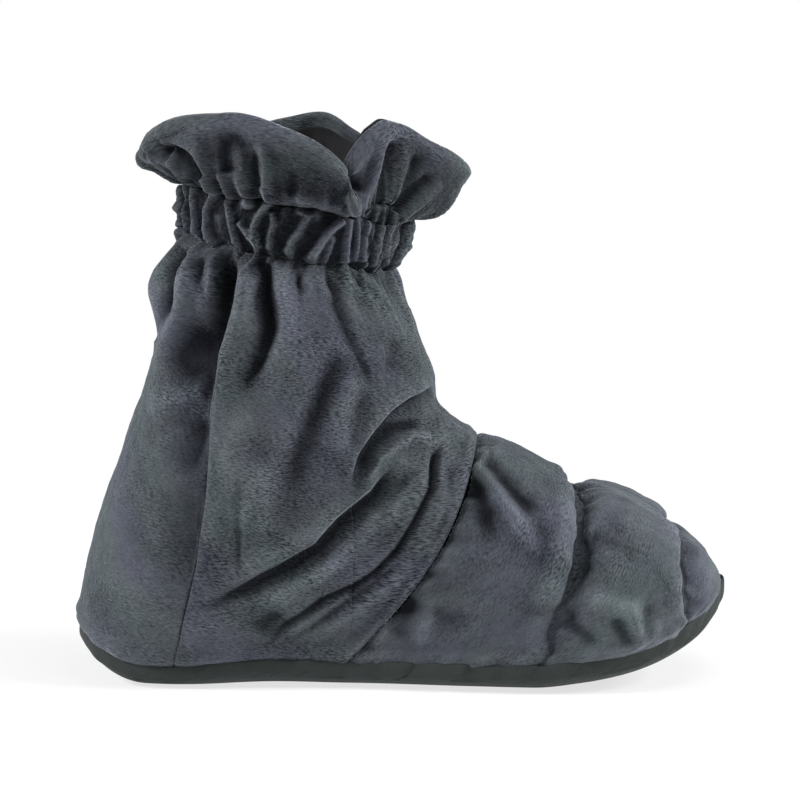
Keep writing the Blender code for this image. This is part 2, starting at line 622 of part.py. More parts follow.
def seam_grooves(angles):
    """Depth of the four panel seams at each column."""
    groove = np.zeros(len(angles))
    for seam in (FRONT_SEAM_ANGLE, HEEL_SEAM_ANGLE):
        for angle in (seam, 2 * BACK_ANGLE - seam):
            groove[np.argmin(np.abs(angles - angle))] = SEAM_GROOVE
    return groove


def build_ankle(plush, lining):
    """Four plush panels of the shaft, with their folds, and the lining tube inside them."""
    angles = ankle_angles()
    shares = np.linspace(0, 1, ANKLE_ROWS + 1)
    base = np.stack([ankle_column(a, shares) for a in angles], axis=1)
    envelope = fold_envelope(shares)[:, None]
    depth = FOLD_DEPTH * envelope * fold_shares(base, angles, shares)
    depth = depth + seam_grooves(angles)[None] * np.minimum(1, 4 * envelope)
    folded = base - grid_normals(base, True) * depth[..., None]
    folded[0] += unit(folded[1] - folded[0]) * (SEAM_GAP / 2)
    folded[-1] += unit(folded[-2] - folded[-1]) * (SEAM_GAP / 2)
    thickness = unit(grid_normals(folded, True) + grid_normals(base, True)) * PLUSH

    first = FRONT_COLUMNS // 2
    second = first + SIDE_COLUMNS
    third = second + HEEL_COLUMNS
    fourth = third + SIDE_COLUMNS
    total = len(angles)
    panels = (
        ("right_side_panel", first, second), ("heel_panel", second, third),
        ("left_side_panel", third, fourth), ("front_panel", fourth, total + first),
    )
    for name, start, end in panels:
        columns = np.arange(start, end + 1) % total
        panel = folded[:, columns].copy()
        panel[:, 0] += unit(panel[:, 1] - panel[:, 0]) * (SEAM_GAP / 2)
        panel[:, -1] += unit(panel[:, -2] - panel[:, -1]) * (SEAM_GAP / 2)
        near = angles[columns[:-1]] < BACK_ANGLE
        body_between(name, panel, panel - thickness[:, columns], plush, slants=near)
    build_shaft_lining(lining)


def build_shaft_lining(lining):
    """Lining tube from the tape and the vamp's seam up through the elastic."""
    turn = 2 * BACK_ANGLE
    angles = np.linspace(0, turn, LINING_COLUMNS, endpoint=False)
    shares = np.linspace(0, 1, LINING_ROWS + 1)
    base = np.stack([ankle_column(a, shares) for a in angles], axis=1)
    inward = PLUSH + LAYER_GAP + (FOLD_DEPTH + SEAM_GROOVE) * fold_envelope(shares)
    inward[-1] = elastic_inward() + ELASTIC + LAYER_GAP
    tube = base - grid_normals(base, True) * inward[:, None, None]
    tube[0] += unit(tube[1] - tube[0]) * (SEAM_GAP / 2)
    inset = cuff_outward(angles) * inward[-1]
    collar, top = cuff_ring(0, angles) - inset, cuff_ring(CASING_HEIGHT, angles) - inset
    cloth("shaft_lining", np.concatenate([tube[:-1], [collar, top]]), LINING, lining, closed=True)


def pleat_shares(angles, count):
    """Depth of the pleats round the cuff, from 0 on a ridge to 1 in a valley."""
    turn = np.radians(angles)
    wander = 0.35 * np.sin(3 * turn + 0.6) + 0.25 * np.sin(5 * turn + 2.1)
    return 0.5 - 0.5 * np.cos(count * turn + wander)


def elastic_inward():
    """Distance from the casing's ridges in to the elastic's outer face."""
    return CASING_PLEAT + PLUSH + LAYER_GAP


def build_casing(plush, elastic):
    """Gathered casing above the collar, and the elastic inside it."""
    angles = np.linspace(0, 2 * BACK_ANGLE, CASING_COLUMNS, endpoint=False)
    heights = np.linspace(SEAM_GAP / 2, CASING_HEIGHT - SEAM_GAP / 2, CASING_ROWS + 1)
    inward = cuff_outward(angles) * (CASING_PLEAT * pleat_shares(angles, CASING_PLEATS))[:, None]
    band = np.stack([cuff_ring(h, angles) - inward for h in heights])
    cloth("elastic_casing", band, PLUSH, plush, closed=True)

    around = np.linspace(0, 2 * BACK_ANGLE, ELASTIC_COLUMNS, endpoint=False)
    low = (CASING_HEIGHT - ELASTIC_HEIGHT) / 2
    inset = cuff_outward(around) * elastic_inward()
    strap = np.stack([cuff_ring(h, around) - inset for h in (low, low + ELASTIC_HEIGHT)])
    cloth("ankle_elastic", strap, ELASTIC, elastic, closed=True)


def ruffle_fold_shares(angles, shares):
    """Depth of the ruffle's folds at angles round it and shares of the way up to its rim."""
    deep = np.zeros((len(shares), len(angles)))
    t = shares[:, None]
    for angle, width, foot, rim in RUFFLE_FOLD_SHARES:
        off = np.mod(angles - angle + BACK_ANGLE, 2 * BACK_ANGLE) - BACK_ANGLE
        deep += (foot * 4 * t * (1 - t) + rim * t**2) * fold_profile(off, width, width)[None]
    return deep


def ruffle_grid(angles, shares):
    """Outer face of the ruffle, from the casing up to its wavy rim."""
    foot = cuff_ring(CASING_HEIGHT + SEAM_GAP, angles)
    out = cuff_outward(angles)
    side = np.stack([out[:, 1], -out[:, 0], 0 * angles], axis=-1)
    reach, shift, rise = (
        periodic_value([(row[0], row[k]) for row in RUFFLE_RIM_SHARES], angles)[:, None] * RUFFLE_HEIGHT
        for k in (1, 2, 3)
    )
    up = np.array([0, 0, 1.0])
    rim = foot + out * reach + side * shift + up * rise
    stand = foot + up * (RUFFLE_HEIGHT * RUFFLE_STAND_SHARE) + out * (reach * RUFFLE_LEAN_SHARE)
    t = shares[:, None, None]
    surface = foot * (1 - t) ** 2 + stand * 2 * t * (1 - t) + rim * t**2
    pleat = RUFFLE_PLEAT * pleat_shares(angles, RUFFLE_PLEATS)[None, :, None] * (1 - t) ** 1.5
    return surface - out * (pleat + RUFFLE_HEIGHT * ruffle_fold_shares(angles, shares)[..., None])


def build_ruffle(plush, lining):
    """Ruffle that stands above the casing, with its dark lining."""
    angles = np.linspace(0, 2 * BACK_ANGLE, RUFFLE_COLUMNS, endpoint=False)
    shares = np.linspace(0, 1, RUFFLE_ROWS + 1)
    outer = ruffle_grid(angles, shares)
    outward = unit(grid_normals(outer, True) * shares[:, None, None] ** 0.5 + cuff_outward(angles))
    body_between("ruffle", outer, outer - outward * PLUSH, plush, closed=True)
    face = (outer - outward * (PLUSH + LAYER_GAP))[:-1]
    body_between("ruffle_lining", face, face - outward[:-1] * LINING, lining, closed=True)


def footbed_loft(x, inward):
    """Height that the sole pads lift the footbed off the outsole."""
    share = x / SOLE_LENGTH
    height = np.zeros(np.shape(share))
    for _, start, end, puff in SOLE_PAD_SHARES:
        inside = np.clip((share - start) / PAD_FADE_SHARE, 0, 1) * np.clip((end - share) / PAD_FADE_SHARE, 0, 1)
        height = np.maximum(height, puff * np.sqrt(inside))
    across = np.clip((inward - TAPE_LIP) / CURL_WIDTH, 0, 1)
    return SOLE_PUFF * height * np.sin(across * math.pi / 2)


def sole_rows(places, level, loft):
    """Grid over the sole, from the right edge to the left, at a level above the outsole's underside."""
    inward = (TAPE + GAP, TAPE_LIP, TAPE_LIP + CURL_WIDTH / 3, CURL_WIDTH)
    half = []
    for distance in inward:
        plan = edge_points(places, distance)
        height = sole_height(plan[:, 0], distance) + level
        if loft:
            height = height + footbed_loft(plan[:, 0], distance)
        half.append(np.stack([plan[:, 0], -plan[:, 1], height], axis=-1))
    middle = half[-1] * (1, 0, 1)
    if loft:
        middle[:, 2] += footbed_loft(middle[:, 0], CURL_WIDTH * 2) - footbed_loft(middle[:, 0], CURL_WIDTH)
    columns = half + [middle] + [mirrored(c) for c in half[::-1]]
    return np.stack(columns, axis=1)


def build_sole(outsole, footbed, tape, grain):
    """Outsole, three grain pads, footbed and the binding tape that holds their edges."""
    places = np.linspace(0, 1, EDGE_STATIONS + 1)
    levels = edge_stack()
    under, over = sole_rows(places, 0, False), sole_rows(places, OUTSOLE, False)
    body_between("outsole", over, under, outsole)
    under, over = (sole_rows(places, levels["footbed"] + rise, True) for rise in (0, FOOTBED))
    body_between("footbed", over, under, footbed)

    for name, start, end, _ in SOLE_PAD_SHARES:
        stops = edge_share_at(np.array([start, end]) * SOLE_LENGTH)
        rows = np.linspace(stops[0], stops[1], PAD_ROWS)
        bottom = sole_rows(rows, OUTSOLE + GAP, False)[1:-1, 2:-2]
        top = sole_rows(rows, OUTSOLE, True)[1:-1, 2:-2]
        top[..., 2] = np.maximum(top[..., 2], bottom[..., 2] + LINING)
        body_between("sole_" + name + "_pack", top, bottom, grain)
    build_tape(tape, levels)


def build_tape(tape, levels):
    """Binding tape folded round the sole's edge, as a C-shaped section swept round it.

    The faces of both lips are split along the diagonals that the cloths between them have.
    """
    low, high = levels["tape"], levels["tape_top"]
    section = (
        (TAPE_LIP, high), (TAPE, high), (0, high - TAPE), (0, low + TAPE), (TAPE, low), (TAPE_LIP, low),
        (TAPE_LIP, low + TAPE), (TAPE, low + TAPE), (TAPE, high - TAPE), (TAPE_LIP, high - TAPE),
    )
    places = np.linspace(0, 1, EDGE_STATIONS + 1)
    right = np.stack([on_edge(places, inward, level) for inward, level in section], axis=1)
    left = mirrored(right[-2:0:-1])
    loop = np.concatenate([right, left])
    rows, columns = loop.shape[:2]
    faces = grid_faces(rows, columns, True, True)
    for start in (0, 6):
        faces[start::columns] = [face[1:] + face[:1] for face in faces[start::columns]]
    mesh_object("binding_tape", loop.reshape(-1, 3), faces, tape)


def material(name, colour, roughness, metallic=0.0):
    """Principled material of one colour."""
    made = bpy.data.materials.new(name)
    made.use_nodes = True
    shader = made.node_tree.nodes["Principled BSDF"]
    shader.inputs["Base Color"].default_value = (*colour, 1.0)
    shader.inputs["Roughness"].default_value = roughness
    shader.inputs["Metallic"].default_value = metallic
    made.diffuse_color = (*colour, 1.0)
    return made


def centre_on_origin():
    """Hang every piece on one empty, so that the box of the whole stands centred on the origin."""
    bpy.context.view_layer.update()
    corners = np.array([tuple(v.co) for piece in SLIPPER.objects for v in piece.data.vertices])
    middle = (corners.min(axis=0) + corners.max(axis=0)) / 2
    stand = bpy.data.objects.new("slipper", None)
    SLIPPER.objects.link(stand)
    for piece in list(SLIPPER.objects):
        if piece != stand:
            piece.parent = stand
    stand.location = (-middle[0], -middle[1], 0)


clear_scene()
SLIPPER = bpy.data.collections.new("heat_slipper")
bpy.context.scene.collection.children.link(SLIPPER)

plush_cloth = material("plush_fleece", PLUSH_GREY, 0.95)
lining_cloth = material("black_lining", LINING_BLACK, 0.70)
tape_cloth = material("binding_tape", TAPE_GREY, 0.80)
sole_cloth = material("outsole_cloth", SOLE_GREY, 0.85)
elastic_web = material("elastic_web", ELASTIC_WHITE, 0.75)
grain_cotton = material("grain_pouch", GRAIN_COTTON, 0.90)

build_sole(sole_cloth, lining_cloth, tape_cloth, grain_cotton)
build_vamp(plush_cloth, lining_cloth, grain_cotton)
build_ankle(plush_cloth, lining_cloth)
build_casing(plush_cloth, elastic_web)
build_ruffle(plush_cloth, lining_cloth)
centre_on_origin()
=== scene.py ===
"""Dressed view of the heat slipper: plush, lining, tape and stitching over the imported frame.

The slipper's surfaces are lofted here as they are in the part's source, from the same sizes,
but with far finer grids, so that folds, gathers, seams, puckers and pile stand in the meshes.
Lengths are metres unless a name says otherwise. The toe points along +X and -Y is the near side.
"""

import math

import bmesh
import bpy
import numpy as np
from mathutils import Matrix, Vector


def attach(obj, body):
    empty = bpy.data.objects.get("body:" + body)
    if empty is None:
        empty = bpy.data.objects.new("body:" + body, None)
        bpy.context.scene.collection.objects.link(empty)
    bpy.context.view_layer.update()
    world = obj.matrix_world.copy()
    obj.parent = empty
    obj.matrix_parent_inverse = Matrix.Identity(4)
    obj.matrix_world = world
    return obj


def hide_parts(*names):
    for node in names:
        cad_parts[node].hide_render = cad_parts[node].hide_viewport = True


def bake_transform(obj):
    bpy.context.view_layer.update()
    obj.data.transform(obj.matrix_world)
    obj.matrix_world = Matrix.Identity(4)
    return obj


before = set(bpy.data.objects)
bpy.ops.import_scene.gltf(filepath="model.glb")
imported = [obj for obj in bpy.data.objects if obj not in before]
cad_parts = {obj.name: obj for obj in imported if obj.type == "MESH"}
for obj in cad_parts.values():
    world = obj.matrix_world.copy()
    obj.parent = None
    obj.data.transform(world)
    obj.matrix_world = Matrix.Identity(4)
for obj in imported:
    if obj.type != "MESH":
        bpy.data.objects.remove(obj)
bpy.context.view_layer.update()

# Where the source's own origin lies in the frame
ORIGIN = np.array([0.1434, -0.0005, 0.0])

SOLE_LENGTH = 0.288
SOLE_HALF_WIDTH = 0.050
TOE_SPRING = 0.031
HEEL_SPRING = 0.0145
EDGE_CURL = 0.0065
CURL_WIDTH = 0.018
TAPE_LIP = 0.0065
INSTEP_SETBACK = 0.110
INSTEP_HEIGHT = 0.1065
ANKLE_HALF_WIDTH = 0.051
SIDE_BULGE = 0.006
COLLAR_SETBACK = 0.0432
COLLAR_LENGTH = 0.0995
COLLAR_WIDTH = 0.088
COLLAR_HEIGHT = 0.189
COLLAR_TILT = 0.0088
CASING_HEIGHT = 0.0225
CASING_FLARE = 0.004
CASING_PLEAT = 0.0045
RUFFLE_HEIGHT = 0.043
ELASTIC_HEIGHT = 0.018
PLUSH = 0.0025
LINING = 0.0010
OUTSOLE = 0.0015
FOOTBED = 0.0015
TAPE = 0.0008
ELASTIC = 0.0012
GAP = 0.0005
SEAM_GAP = 0.0002
LAYER_GAP = 0.0005
VAMP_PUFFS = (0.0035, 0.0060, 0.0032)
QUILT_BOW = 0.0105
SOLE_PUFF = 0.0080
FOLD_LIMIT = 0.0145
SEAM_ROLL = 0.0013
FRONT_SEAM_ANGLE = 67.0
HEEL_SEAM_ANGLE = 116.0
BACK_ANGLE = 180.0
FULL_TURN = 360.0
MM = 0.001
UP = np.array([0, 0, 1.0])

# What only this view has: gathers, rolls and folds
CASING_DEPTH = 0.0072
CASING_SWELL = 0.0026
CASING_LIMIT = 0.0050
CASING_FLOOR = 0.0047
COLLAR_DIP = 0.0011
COLLAR_ROLL = 0.0026
COLLAR_MERGE = 0.0062
COLLAR_LEVEL = 0.014
COLLAR_PULL = 0.0036
COLLAR_PULL_REACH = 0.016
COLLAR_WAVE_REACH = 0.010
LINING_INSET = CASING_PLEAT + PLUSH + LAYER_GAP + ELASTIC + LAYER_GAP
OVERHANG_HEIGHT = 0.0052
OVERHANG_SPAN = 0.0030
FLAT_SEAM_ROLL = 0.0005
RUFFLE_STAND_SHARE = 0.05
RUFFLE_STAND_DROP = 0.08
RUFFLE_LEAN_SHARE = 0.90
RIM_ROLL = 0.0026
FOLD_SHARPNESS = 1.3
FOLD_FADE_POWER = 0.7
SHAFT_GIRTH = 0.30
CASING_GIRTH = 0.31
RUFFLE_GIRTH = 0.42
LINING_SLACK = 0.0007
LINING_CLEARANCE = 0.0008
LINING_END_SHARE = 0.04
STITCH_LIFT = 0.0001
STITCH_GAP = 0.0027
STITCH_RADIUS = 0.00016
TAPE_LIFT = 0.0018
TAPE_OUT = -0.0013
TAPE_FLAT_END = 0.0018
TAPE_TURN_DEPTH = 0.0029
WELD = 1e-6

SOLE_OUTLINE_SHARES = (
    (0.000, 0.00), (0.016, 0.40), (0.080, 0.70), (0.180, 0.80), (0.310, 0.78), (0.450, 0.81),
    (0.600, 0.93), (0.730, 1.00), (0.850, 0.93), (0.940, 0.69), (0.986, 0.37), (1.000, 0.00),
)
EDGE_CURL_SHARES = ((0.00, 0.55), (0.14, 0.52), (0.31, 1.00), (0.42, 0.82), (0.75, 0.95), (1.00, 0.60))
TOE_SPRING_SHARES = (
    (0.000, 0.00), (0.700, 0.00), (0.775, 0.07), (0.825, 0.15), (0.870, 0.255), (0.915, 0.410),
    (0.960, 0.64), (1.000, 1.00),
)
HEEL_BREAK_SHARE = 0.11
# Rings of the ankle: front x, front z, back x, back z, half width and seam shift in degrees
ANKLE_RING_SHARES = (
    (0.640, 0.135, 0.046, 0.240, 0.88, 7),
    (0.485, 0.216, 0.273, 0.410, 1.00, 10),
    (0.450, 0.378, 0.567, 0.580, 1.00, 10),
    (0.250, 0.630, 0.764, 0.745, 0.90, 5),
    (0.080, 0.860, 0.637, 0.890, 0.65, 1),
    (0.000, 1.000, 1.000, 1.000, 0.00, 0),
)
BULGE_PLACE_SHARE = 0.28
BULGE_WEIGHTS = (0.0, 0.6, 1.0, 0.3)
CREST_SHARES = (
    (0.00, 0.000, 1.000), (0.22, 0.190, 0.825), (0.45, 0.380, 0.665), (0.62, 0.590, 0.525),
    (0.78, 0.785, 0.380), (0.90, 0.882, 0.200), (0.95, 0.938, 0.090), (1.00, 1.000, 0.000),
)
QUILT_SHARES = (0.0, 0.45, 0.78, 1.0)
QUILT_FOOT_SHARES = (0.416, 0.726, 0.944, 1.0)
HEEL_SEAM_FOOT_SHARE = 0.153
QUILT_BOW_SHARES = (1.0, 0.6, 0.25, 0.0)
SECTION_WIDTH_POWER = 0.72
SECTION_RISE_POWER = 0.88
SECTION_BULGE_SHARE = 0.07
PUFF_POWER = 2.4
PUFF_EDGE_POWER = 0.40
PUFF_SIDE_SHARE = 0.60
SOLE_PAD_SHARES = (("heel", 0.10, 0.36, 1.0), ("arch", 0.385, 0.60, 0.75), ("ball", 0.625, 0.90, 0.9))
PAD_FADE_SHARE = 0.05

# Gathers below the collar: angle, widths either side in degrees, depth in mm, reach, drift
GATHERS = (
    (171, 5, 9, 7.2, 0.34, 5), (189, 8, 5, 5.9, 0.30, -6), (206, 7, 11, 8.1, 0.42, 8),
    (226, 9, 6, 8.6, 0.56, 10), (249, 6, 9, 7.2, 0.36, -5), (268, 10, 6, 9.1, 0.52, 9),
    (291, 6, 8, 5.9, 0.34, 0), (312, 8, 6, 6.5, 0.30, -7), (334, 7, 9, 4.7, 0.26, 5),
    (357, 6, 8, 3.9, 0.22, -4), (17, 7, 6, 3.6, 0.20, 3), (180, 11, 11, 7.0, 0.30, 0),
    (180, 45, 45, 2.6, 0.30, 0),
)
# Folds in mm, drawn downwards as seen from the near side: depth (a ridge is negative), widths
# left and right of the way the line runs, fades in and out as shares, and points (x, z)
NEAR_FOLDS = (
    (8, 4, 5, 0.05, 0.6, ((-96, 193), (-99, 185), (-100, 174), (-103, 163), (-107, 153))),
    (-3.4, 6, 4, 0.1, 0.5, ((-90, 196), (-92, 186), (-93, 178), (-98, 164), (-105, 150), (-112, 135))),
    (6.5, 13, 9, 0.3, 0.4, ((-82, 157), (-94, 148), (-107, 137))),
    (-4.6, 6, 8, 0.15, 0.4, ((-84, 133), (-98, 128), (-112, 119))),
    (-2.6, 2.2, 2.2, 0.02, 0.5, ((-98, 194), (-96, 186), (-95, 174))),
    (3, 1.8, 1.8, 0.02, 0.5, ((-95, 193), (-93, 185), (-93, 176))),
    (-3.2, 4, 4, 0.02, 0.5, ((-89, 193), (-90, 181), (-94, 168))),
    (2.4, 1.8, 1.8, 0.02, 0.5, ((-86, 192), (-86, 183), (-87, 175))),
    (-3, 3, 3, 0.02, 0.5, ((-82, 194), (-81, 182), (-81, 168))),
    (-3.6, 4, 3.6, 0.02, 0.5, ((-65, 192), (-65, 182), (-66, 171), (-70, 159))),
    (-3.6, 4.5, 3, 0.02, 0.5, ((-51, 191), (-53, 180), (-52, 166))),
    (3.4, 2.6, 2.6, 0.02, 0.6, ((-44, 188), (-43, 179), (-41, 172))),
    (-3.2, 2.6, 2.6, 0.02, 0.6, ((-35, 188), (-34, 180), (-31, 171))),
    (4, 2.2, 2.2, 0.02, 0.6, ((-30, 187), (-29, 178), (-25, 169))),
    (-2, 3, 3, 0.02, 0.6, ((-24, 185), (-21, 178), (-15, 170))),
    (3.4, 2.2, 2.2, 0.02, 0.6, ((-19, 184), (-15, 177), (-10, 171))),
    (-2, 2, 2, 0.02, 0.6, ((-12, 183), (-8, 175), (-4, 167))),
    (3, 2, 2, 0.02, 0.6, ((-8, 182), (-5, 175), (-1, 166))),
    (12, 4, 7, 0.02, 0.4, ((-73, 194), (-74, 181), (-75, 172), (-78, 160), (-81, 150), (-83, 140))),
    (9, 4, 20, 0.4, 0.5, ((-75, 172), (-78, 160), (-81, 151), (-82, 141), (-83, 129), (-84, 112))),
    (4.4, 3, 15, 0.2, 0.4, ((-83, 135), (-84, 112), (-86, 86), (-90, 60), (-93, 43), (-96, 26))),
    (-3.4, 13, 3.5, 0.1, 0.5, ((-66, 192), (-66, 180), (-69, 167), (-74, 157), (-78, 146), (-80, 133),
                               (-81, 112), (-83, 88))),
    (11.5, 3.5, 6.5, 0.02, 0.8, ((-58, 190), (-56, 181), (-55, 170), (-54, 160), (-58, 148),
                                 (-65, 139), (-72, 134))),
    (-3, 13, 3.5, 0.1, 0.6, ((-49, 189), (-50, 176), (-50, 163), (-51, 151), (-58, 138), (-68, 128))),
    (4.6, 7, 2, 0.02, 0.35, ((15, 128), (7, 126), (-1, 121), (-9, 113), (-15, 105), (-19, 96), (-21, 84))),
    (-2.8, 2.6, 8, 0.1, 0.3, ((13, 131), (3, 129), (-6, 123), (-14, 114), (-20, 104), (-24, 94))),
    (2, 4, 5, 0.1, 0.5, ((20, 121), (15, 114), (10, 108))),
    (-3.4, 3, 3, 0.05, 0.3, ((14, 108), (5, 110), (-2, 107), (-9, 102), (-14, 93), (-19, 85))),
    (-2.2, 3, 9, 0.25, 0.3, ((-21, 88), (-28, 80), (-38, 70), (-52, 62), (-66, 54), (-80, 47))),
    (6.6, 7, 2.4, 0.15, 0.35, ((0, 102), (-11, 87), (-26, 75), (-36, 64), (-54, 54), (-71, 45), (-94, 33))),
    (-3.2, 6, 7, 0.15, 0.2, ((4, 92), (-6, 78), (-18, 66), (-34, 53), (-52, 41), (-70, 31))),
    (5.6, 2.4, 2.6, 0.05, 0.15, ((17, 107), (15, 98), (14, 88), (7, 75), (-1, 62), (-11, 52), (-20, 46),
                           (-34, 40), (-49, 29), (-62, 16))),
    (-3.8, 3.4, 4, 0.15, 0.15, ((22, 96), (20, 82), (12, 66), (2, 52), (-11, 41), (-27, 30), (-42, 20))),
    (3.2, 3, 3, 0.2, 0.3, ((12, 50), (2, 42), (-9, 34), (-20, 25), (-30, 17))),
    (1.8, 3, 4, 0.3, 0.3, ((8, 100), (0, 90), (-7, 80), (-12, 70))),
    (-1.6, 3, 3, 0.3, 0.4, ((-25, 60), (-38, 50), (-52, 43))),
    (5, 8, 10, 0.4, 0.3, ((-49, 39), (-56, 31), (-62, 23))),
    (-1.8, 12, 9, 0.1, 0.4, ((-94, 21), (-80, 21), (-67, 23))),
    (-1.4, 5, 5, 0.2, 0.3, ((-74, 116), (-74, 99), (-78, 77), (-83, 59))),
    (-1.2, 5, 5, 0.3, 0.3, ((-59, 106), (-62, 92), (-66, 75))),
    (4, 9, 8, 0.15, 0.35, ((-24, 153), (-32, 133), (-40, 114), (-46, 94), (-50, 77))),
    (-2.4, 6, 6, 0.2, 0.3, ((-21, 142), (-27, 120), (-30, 99))),
    (2.2, 5, 5, 0.3, 0.3, ((-14, 135), (-18, 120), (-21, 101))),
    (-3.4, 8, 8, 0.25, 0.3, ((-64, 129), (-70, 112), (-69, 90), (-66, 64))),
    (-2.6, 7, 7, 0.3, 0.3, ((-57, 107), (-59, 86), (-59, 64))),
    (1.4, 1.8, 2.2, 0.3, 0.3, ((-67, 99), (-69, 77), (-69, 58), (-67, 47))),
    (2.6, 2.2, 5, 0.15, 0.3, ((-29, 176), (-23, 159), (-15, 142), (-12, 129))),
    (3, 5, 6, 0.3, 0.4, ((0, 155), (-4, 135))),
    (2.6, 3.5, 3.5, 0.15, 0.3, ((10, 116), (-2, 114), (-11, 107), (-18, 95))),
    (2.6, 2.5, 3, 0.15, 0.3, ((22, 99), (21, 84), (17, 71), (10, 60))),
    (-2.2, 3, 3, 0.2, 0.2, ((19, 120), (25, 112), (31, 101))),
    (2.8, 2, 2.4, 0.15, 0.2, ((2, 58), (-12, 47), (-28, 36), (-43, 25), (-52, 19))),
    (3.8, 5, 14, 0.25, 0.5, ((-85, 123), (-89, 109), (-94, 90))),
    (3, 9, 5, 0.3, 0.5, ((-58, 151), (-62, 141), (-68, 128))),
)
FAR_FOLDS = (
    (5.2, 10, 3, 0.02, 0.25, ((14, 126), (2, 121), (-10, 110), (-21, 98), (-28, 83))),
    (-2.1, 3, 10, 0.25, 0.2, ((-30, 83), (-43, 68), (-60, 55), (-81, 46))),
    (5.7, 7, 4, 0.12, 0.3, ((2, 102), (-12, 86), (-31, 70), (-54, 54), (-80, 41))),
    (-2.9, 6, 9, 0.15, 0.15, ((5, 91), (-14, 68), (-37, 47), (-57, 28))),
    (4.2, 4, 4, 0.08, 0.15, ((15, 94), (1, 70), (-20, 50), (-43, 33), (-60, 17))),
)
# Creases of the vamp in the same form, and which side each is on (-1 is near, 0 both)
VAMP_FOLDS = (
    (-4.4, 5.5, 4.5, 0.1, 0.35, -1, ((32, 99), (48, 79), (56, 67), (62, 58))),
    (3.4, 4, 6, 0.1, 0.4, -1, ((35, 99), (52, 84), (66, 76))),
    (3.8, 6, 7, 0.15, 0.5, -1, ((31, 96), (37, 78), (40, 60))),
    (-1.8, 5, 5, 0.1, 0.4, -1, ((40, 103), (54, 94), (63, 86))),
    (1.5, 5, 7, 0.2, 0.4, -1, ((79, 68), (78, 54), (73, 42))),
    (3.4, 5, 5, 0.2, 0.3, -1, ((68, 35), (77, 29), (87, 22))),
    (-2.6, 5, 6, 0.2, 0.3, -1, ((80, 43), (91, 41), (103, 37))),
    (-2.2, 4, 3, 0.2, 0.2, -1, ((97, 42), (101, 32), (106, 22))),
    (2.4, 3, 4, 0.2, 0.2, -1, ((92, 36), (96, 28), (100, 20))),
    (2.6, 3, 3, 0.2, 0.3, 0, ((76, 97), (80, 89), (80, 82))),
    (3.2, 7, 9, 0.2, 0.2, -1, ((5, 44), (1, 33), (-3, 22))),
    (-2.4, 4, 6, 0.2, 0.2, -1, ((13, 42), (12, 30), (9, 18))),
    (-2.4, 4, 4, 0.2, 0.2, -1, ((-8, 34), (-8, 26), (-12, 18))),
    (1.8, 6, 8, 0.2, 0.4, -1, ((88, 78), (98, 66), (104, 54))),
    (1.8, 7, 9, 0.3, 0.4, -1, ((60, 78), (62, 62), (56, 50))),
    (-1.8, 4, 4, 0.3, 0.3, -1, ((102, 45), (102, 34), (102, 22))),
    (1.4, 3, 3, 0.3, 0.3, -1, ((106, 42), (106, 32), (106, 22))),
    (-1.6, 4, 4, 0.3, 0.3, -1, ((110, 33), (110, 22))),
    (1.5, 4, 6, 0.2, 0.4, -1, ((6, 38), (20, 33), (36, 32))),
    (1.3, 4, 5, 0.2, 0.4, -1, ((72, 40), (62, 36), (50, 36))),
    (1.6, 4, 5, 0.1, 0.5, -1, ((82, 70), (92, 66), (100, 64))),
    (-1.5, 5, 6, 0.15, 0.4, 1, ((30, 94), (42, 80), (54, 70))),
    (1.5, 4, 5, 0.15, 0.4, 1, ((40, 93), (54, 84), (66, 79))),
    (1.5, 4, 5, 0.2, 0.4, 1, ((8, 40), (24, 35), (40, 33))),
    (1.4, 4, 5, 0.2, 0.4, 1, ((74, 46), (62, 40), (52, 38))),
    (1.3, 4, 4, 0.3, 0.3, 1, ((104, 44), (105, 32), (105, 22))),
    (1.4, 5, 4, 0.1, 0.5, 1, ((82, 68), (93, 62), (102, 60))),
)
# How far the side seams lie forward of an even course: share of the way up, degrees
SEAM_COURSE = (
    (0, 0), (0.03, 1), (0.08, 3), (0.17, 4.4), (0.26, 5.8), (0.40, 5.5), (0.49, 3), (0.56, 0.6), (1, 0),
)
# How far the quilting lines waver: line, (degrees up the side, shift), and the rows that give way
QUILT_WAVER = (
    (0.45, ((0, -0.033), (4, -0.017), (10, -0.042), (22, -0.036), (33, -0.017), (46, -0.004), (72, 0.012),
            (90, -0.010)), 0.10, 0.74),
    (0.78, ((7, -0.022), (24, -0.036), (40, -0.030), (64, 0.0), (79, -0.020), (90, -0.010)), 0.50, 0.97),
)
# Depths at the vamp's seam and its two quilting lines: groove, swell before it and dip after it
QUILT_PULLS = ((0.0013, 0, 0), (0.0028, 0.0032, 0.0016), (0.0028, 0.0032, 0.0016))
# Painted shade added down the vamp, darker at the instep and lighter towards the toe as a painted highlight,
# and shares of the toe's lift of the tape along the sole
VAMP_PAINTED_SHADE_AND_HIGHLIGHT = ((-1, 0.12), (0.15, 0.12), (0.50, 0.0), (0.80, -0.10), (0.95, -0.32), (2, -0.32))
TAPE_TOE_SHARES = ((-1, 0), (0.72, 0), (0.88, 1), (0.96, 0.8), (1.01, -0.6), (2, -0.6))
# Share of its even folds that the ruffle keeps, by angle in degrees: the near ones are drawn
RUFFLE_FOLDS_KEPT = ((0, 0.5), (20, 0.15), (165, 0.15), (185, 1.0))
# Share of the full depth that a fold can have, by share of the way up the shaft
FOLD_ENVELOPE = ((0, 0), (0.10, 0.45), (0.25, 0.95), (0.5, 1), (0.93, 1), (1, 0.5))
# Where the ruffle's lining comes up to the rim and shows, by angle in degrees
LINING_PEEK = ((-1, 0), (14, 0), (26, 1), (50, 1), (60, 0), (400, 0))
# Relief of the pile: size across, size down and height of each kind of clump
PILE_CLUMPS = (
    (0.021, 0.027, 0.00075), (0.0095, 0.014, 0.00036), (0.0046, 0.0085, 0.00020), (0.0022, 0.0050, 0.00016),
)
PILE_SWIRL = 0.03
PILE_STRAY = 0.004
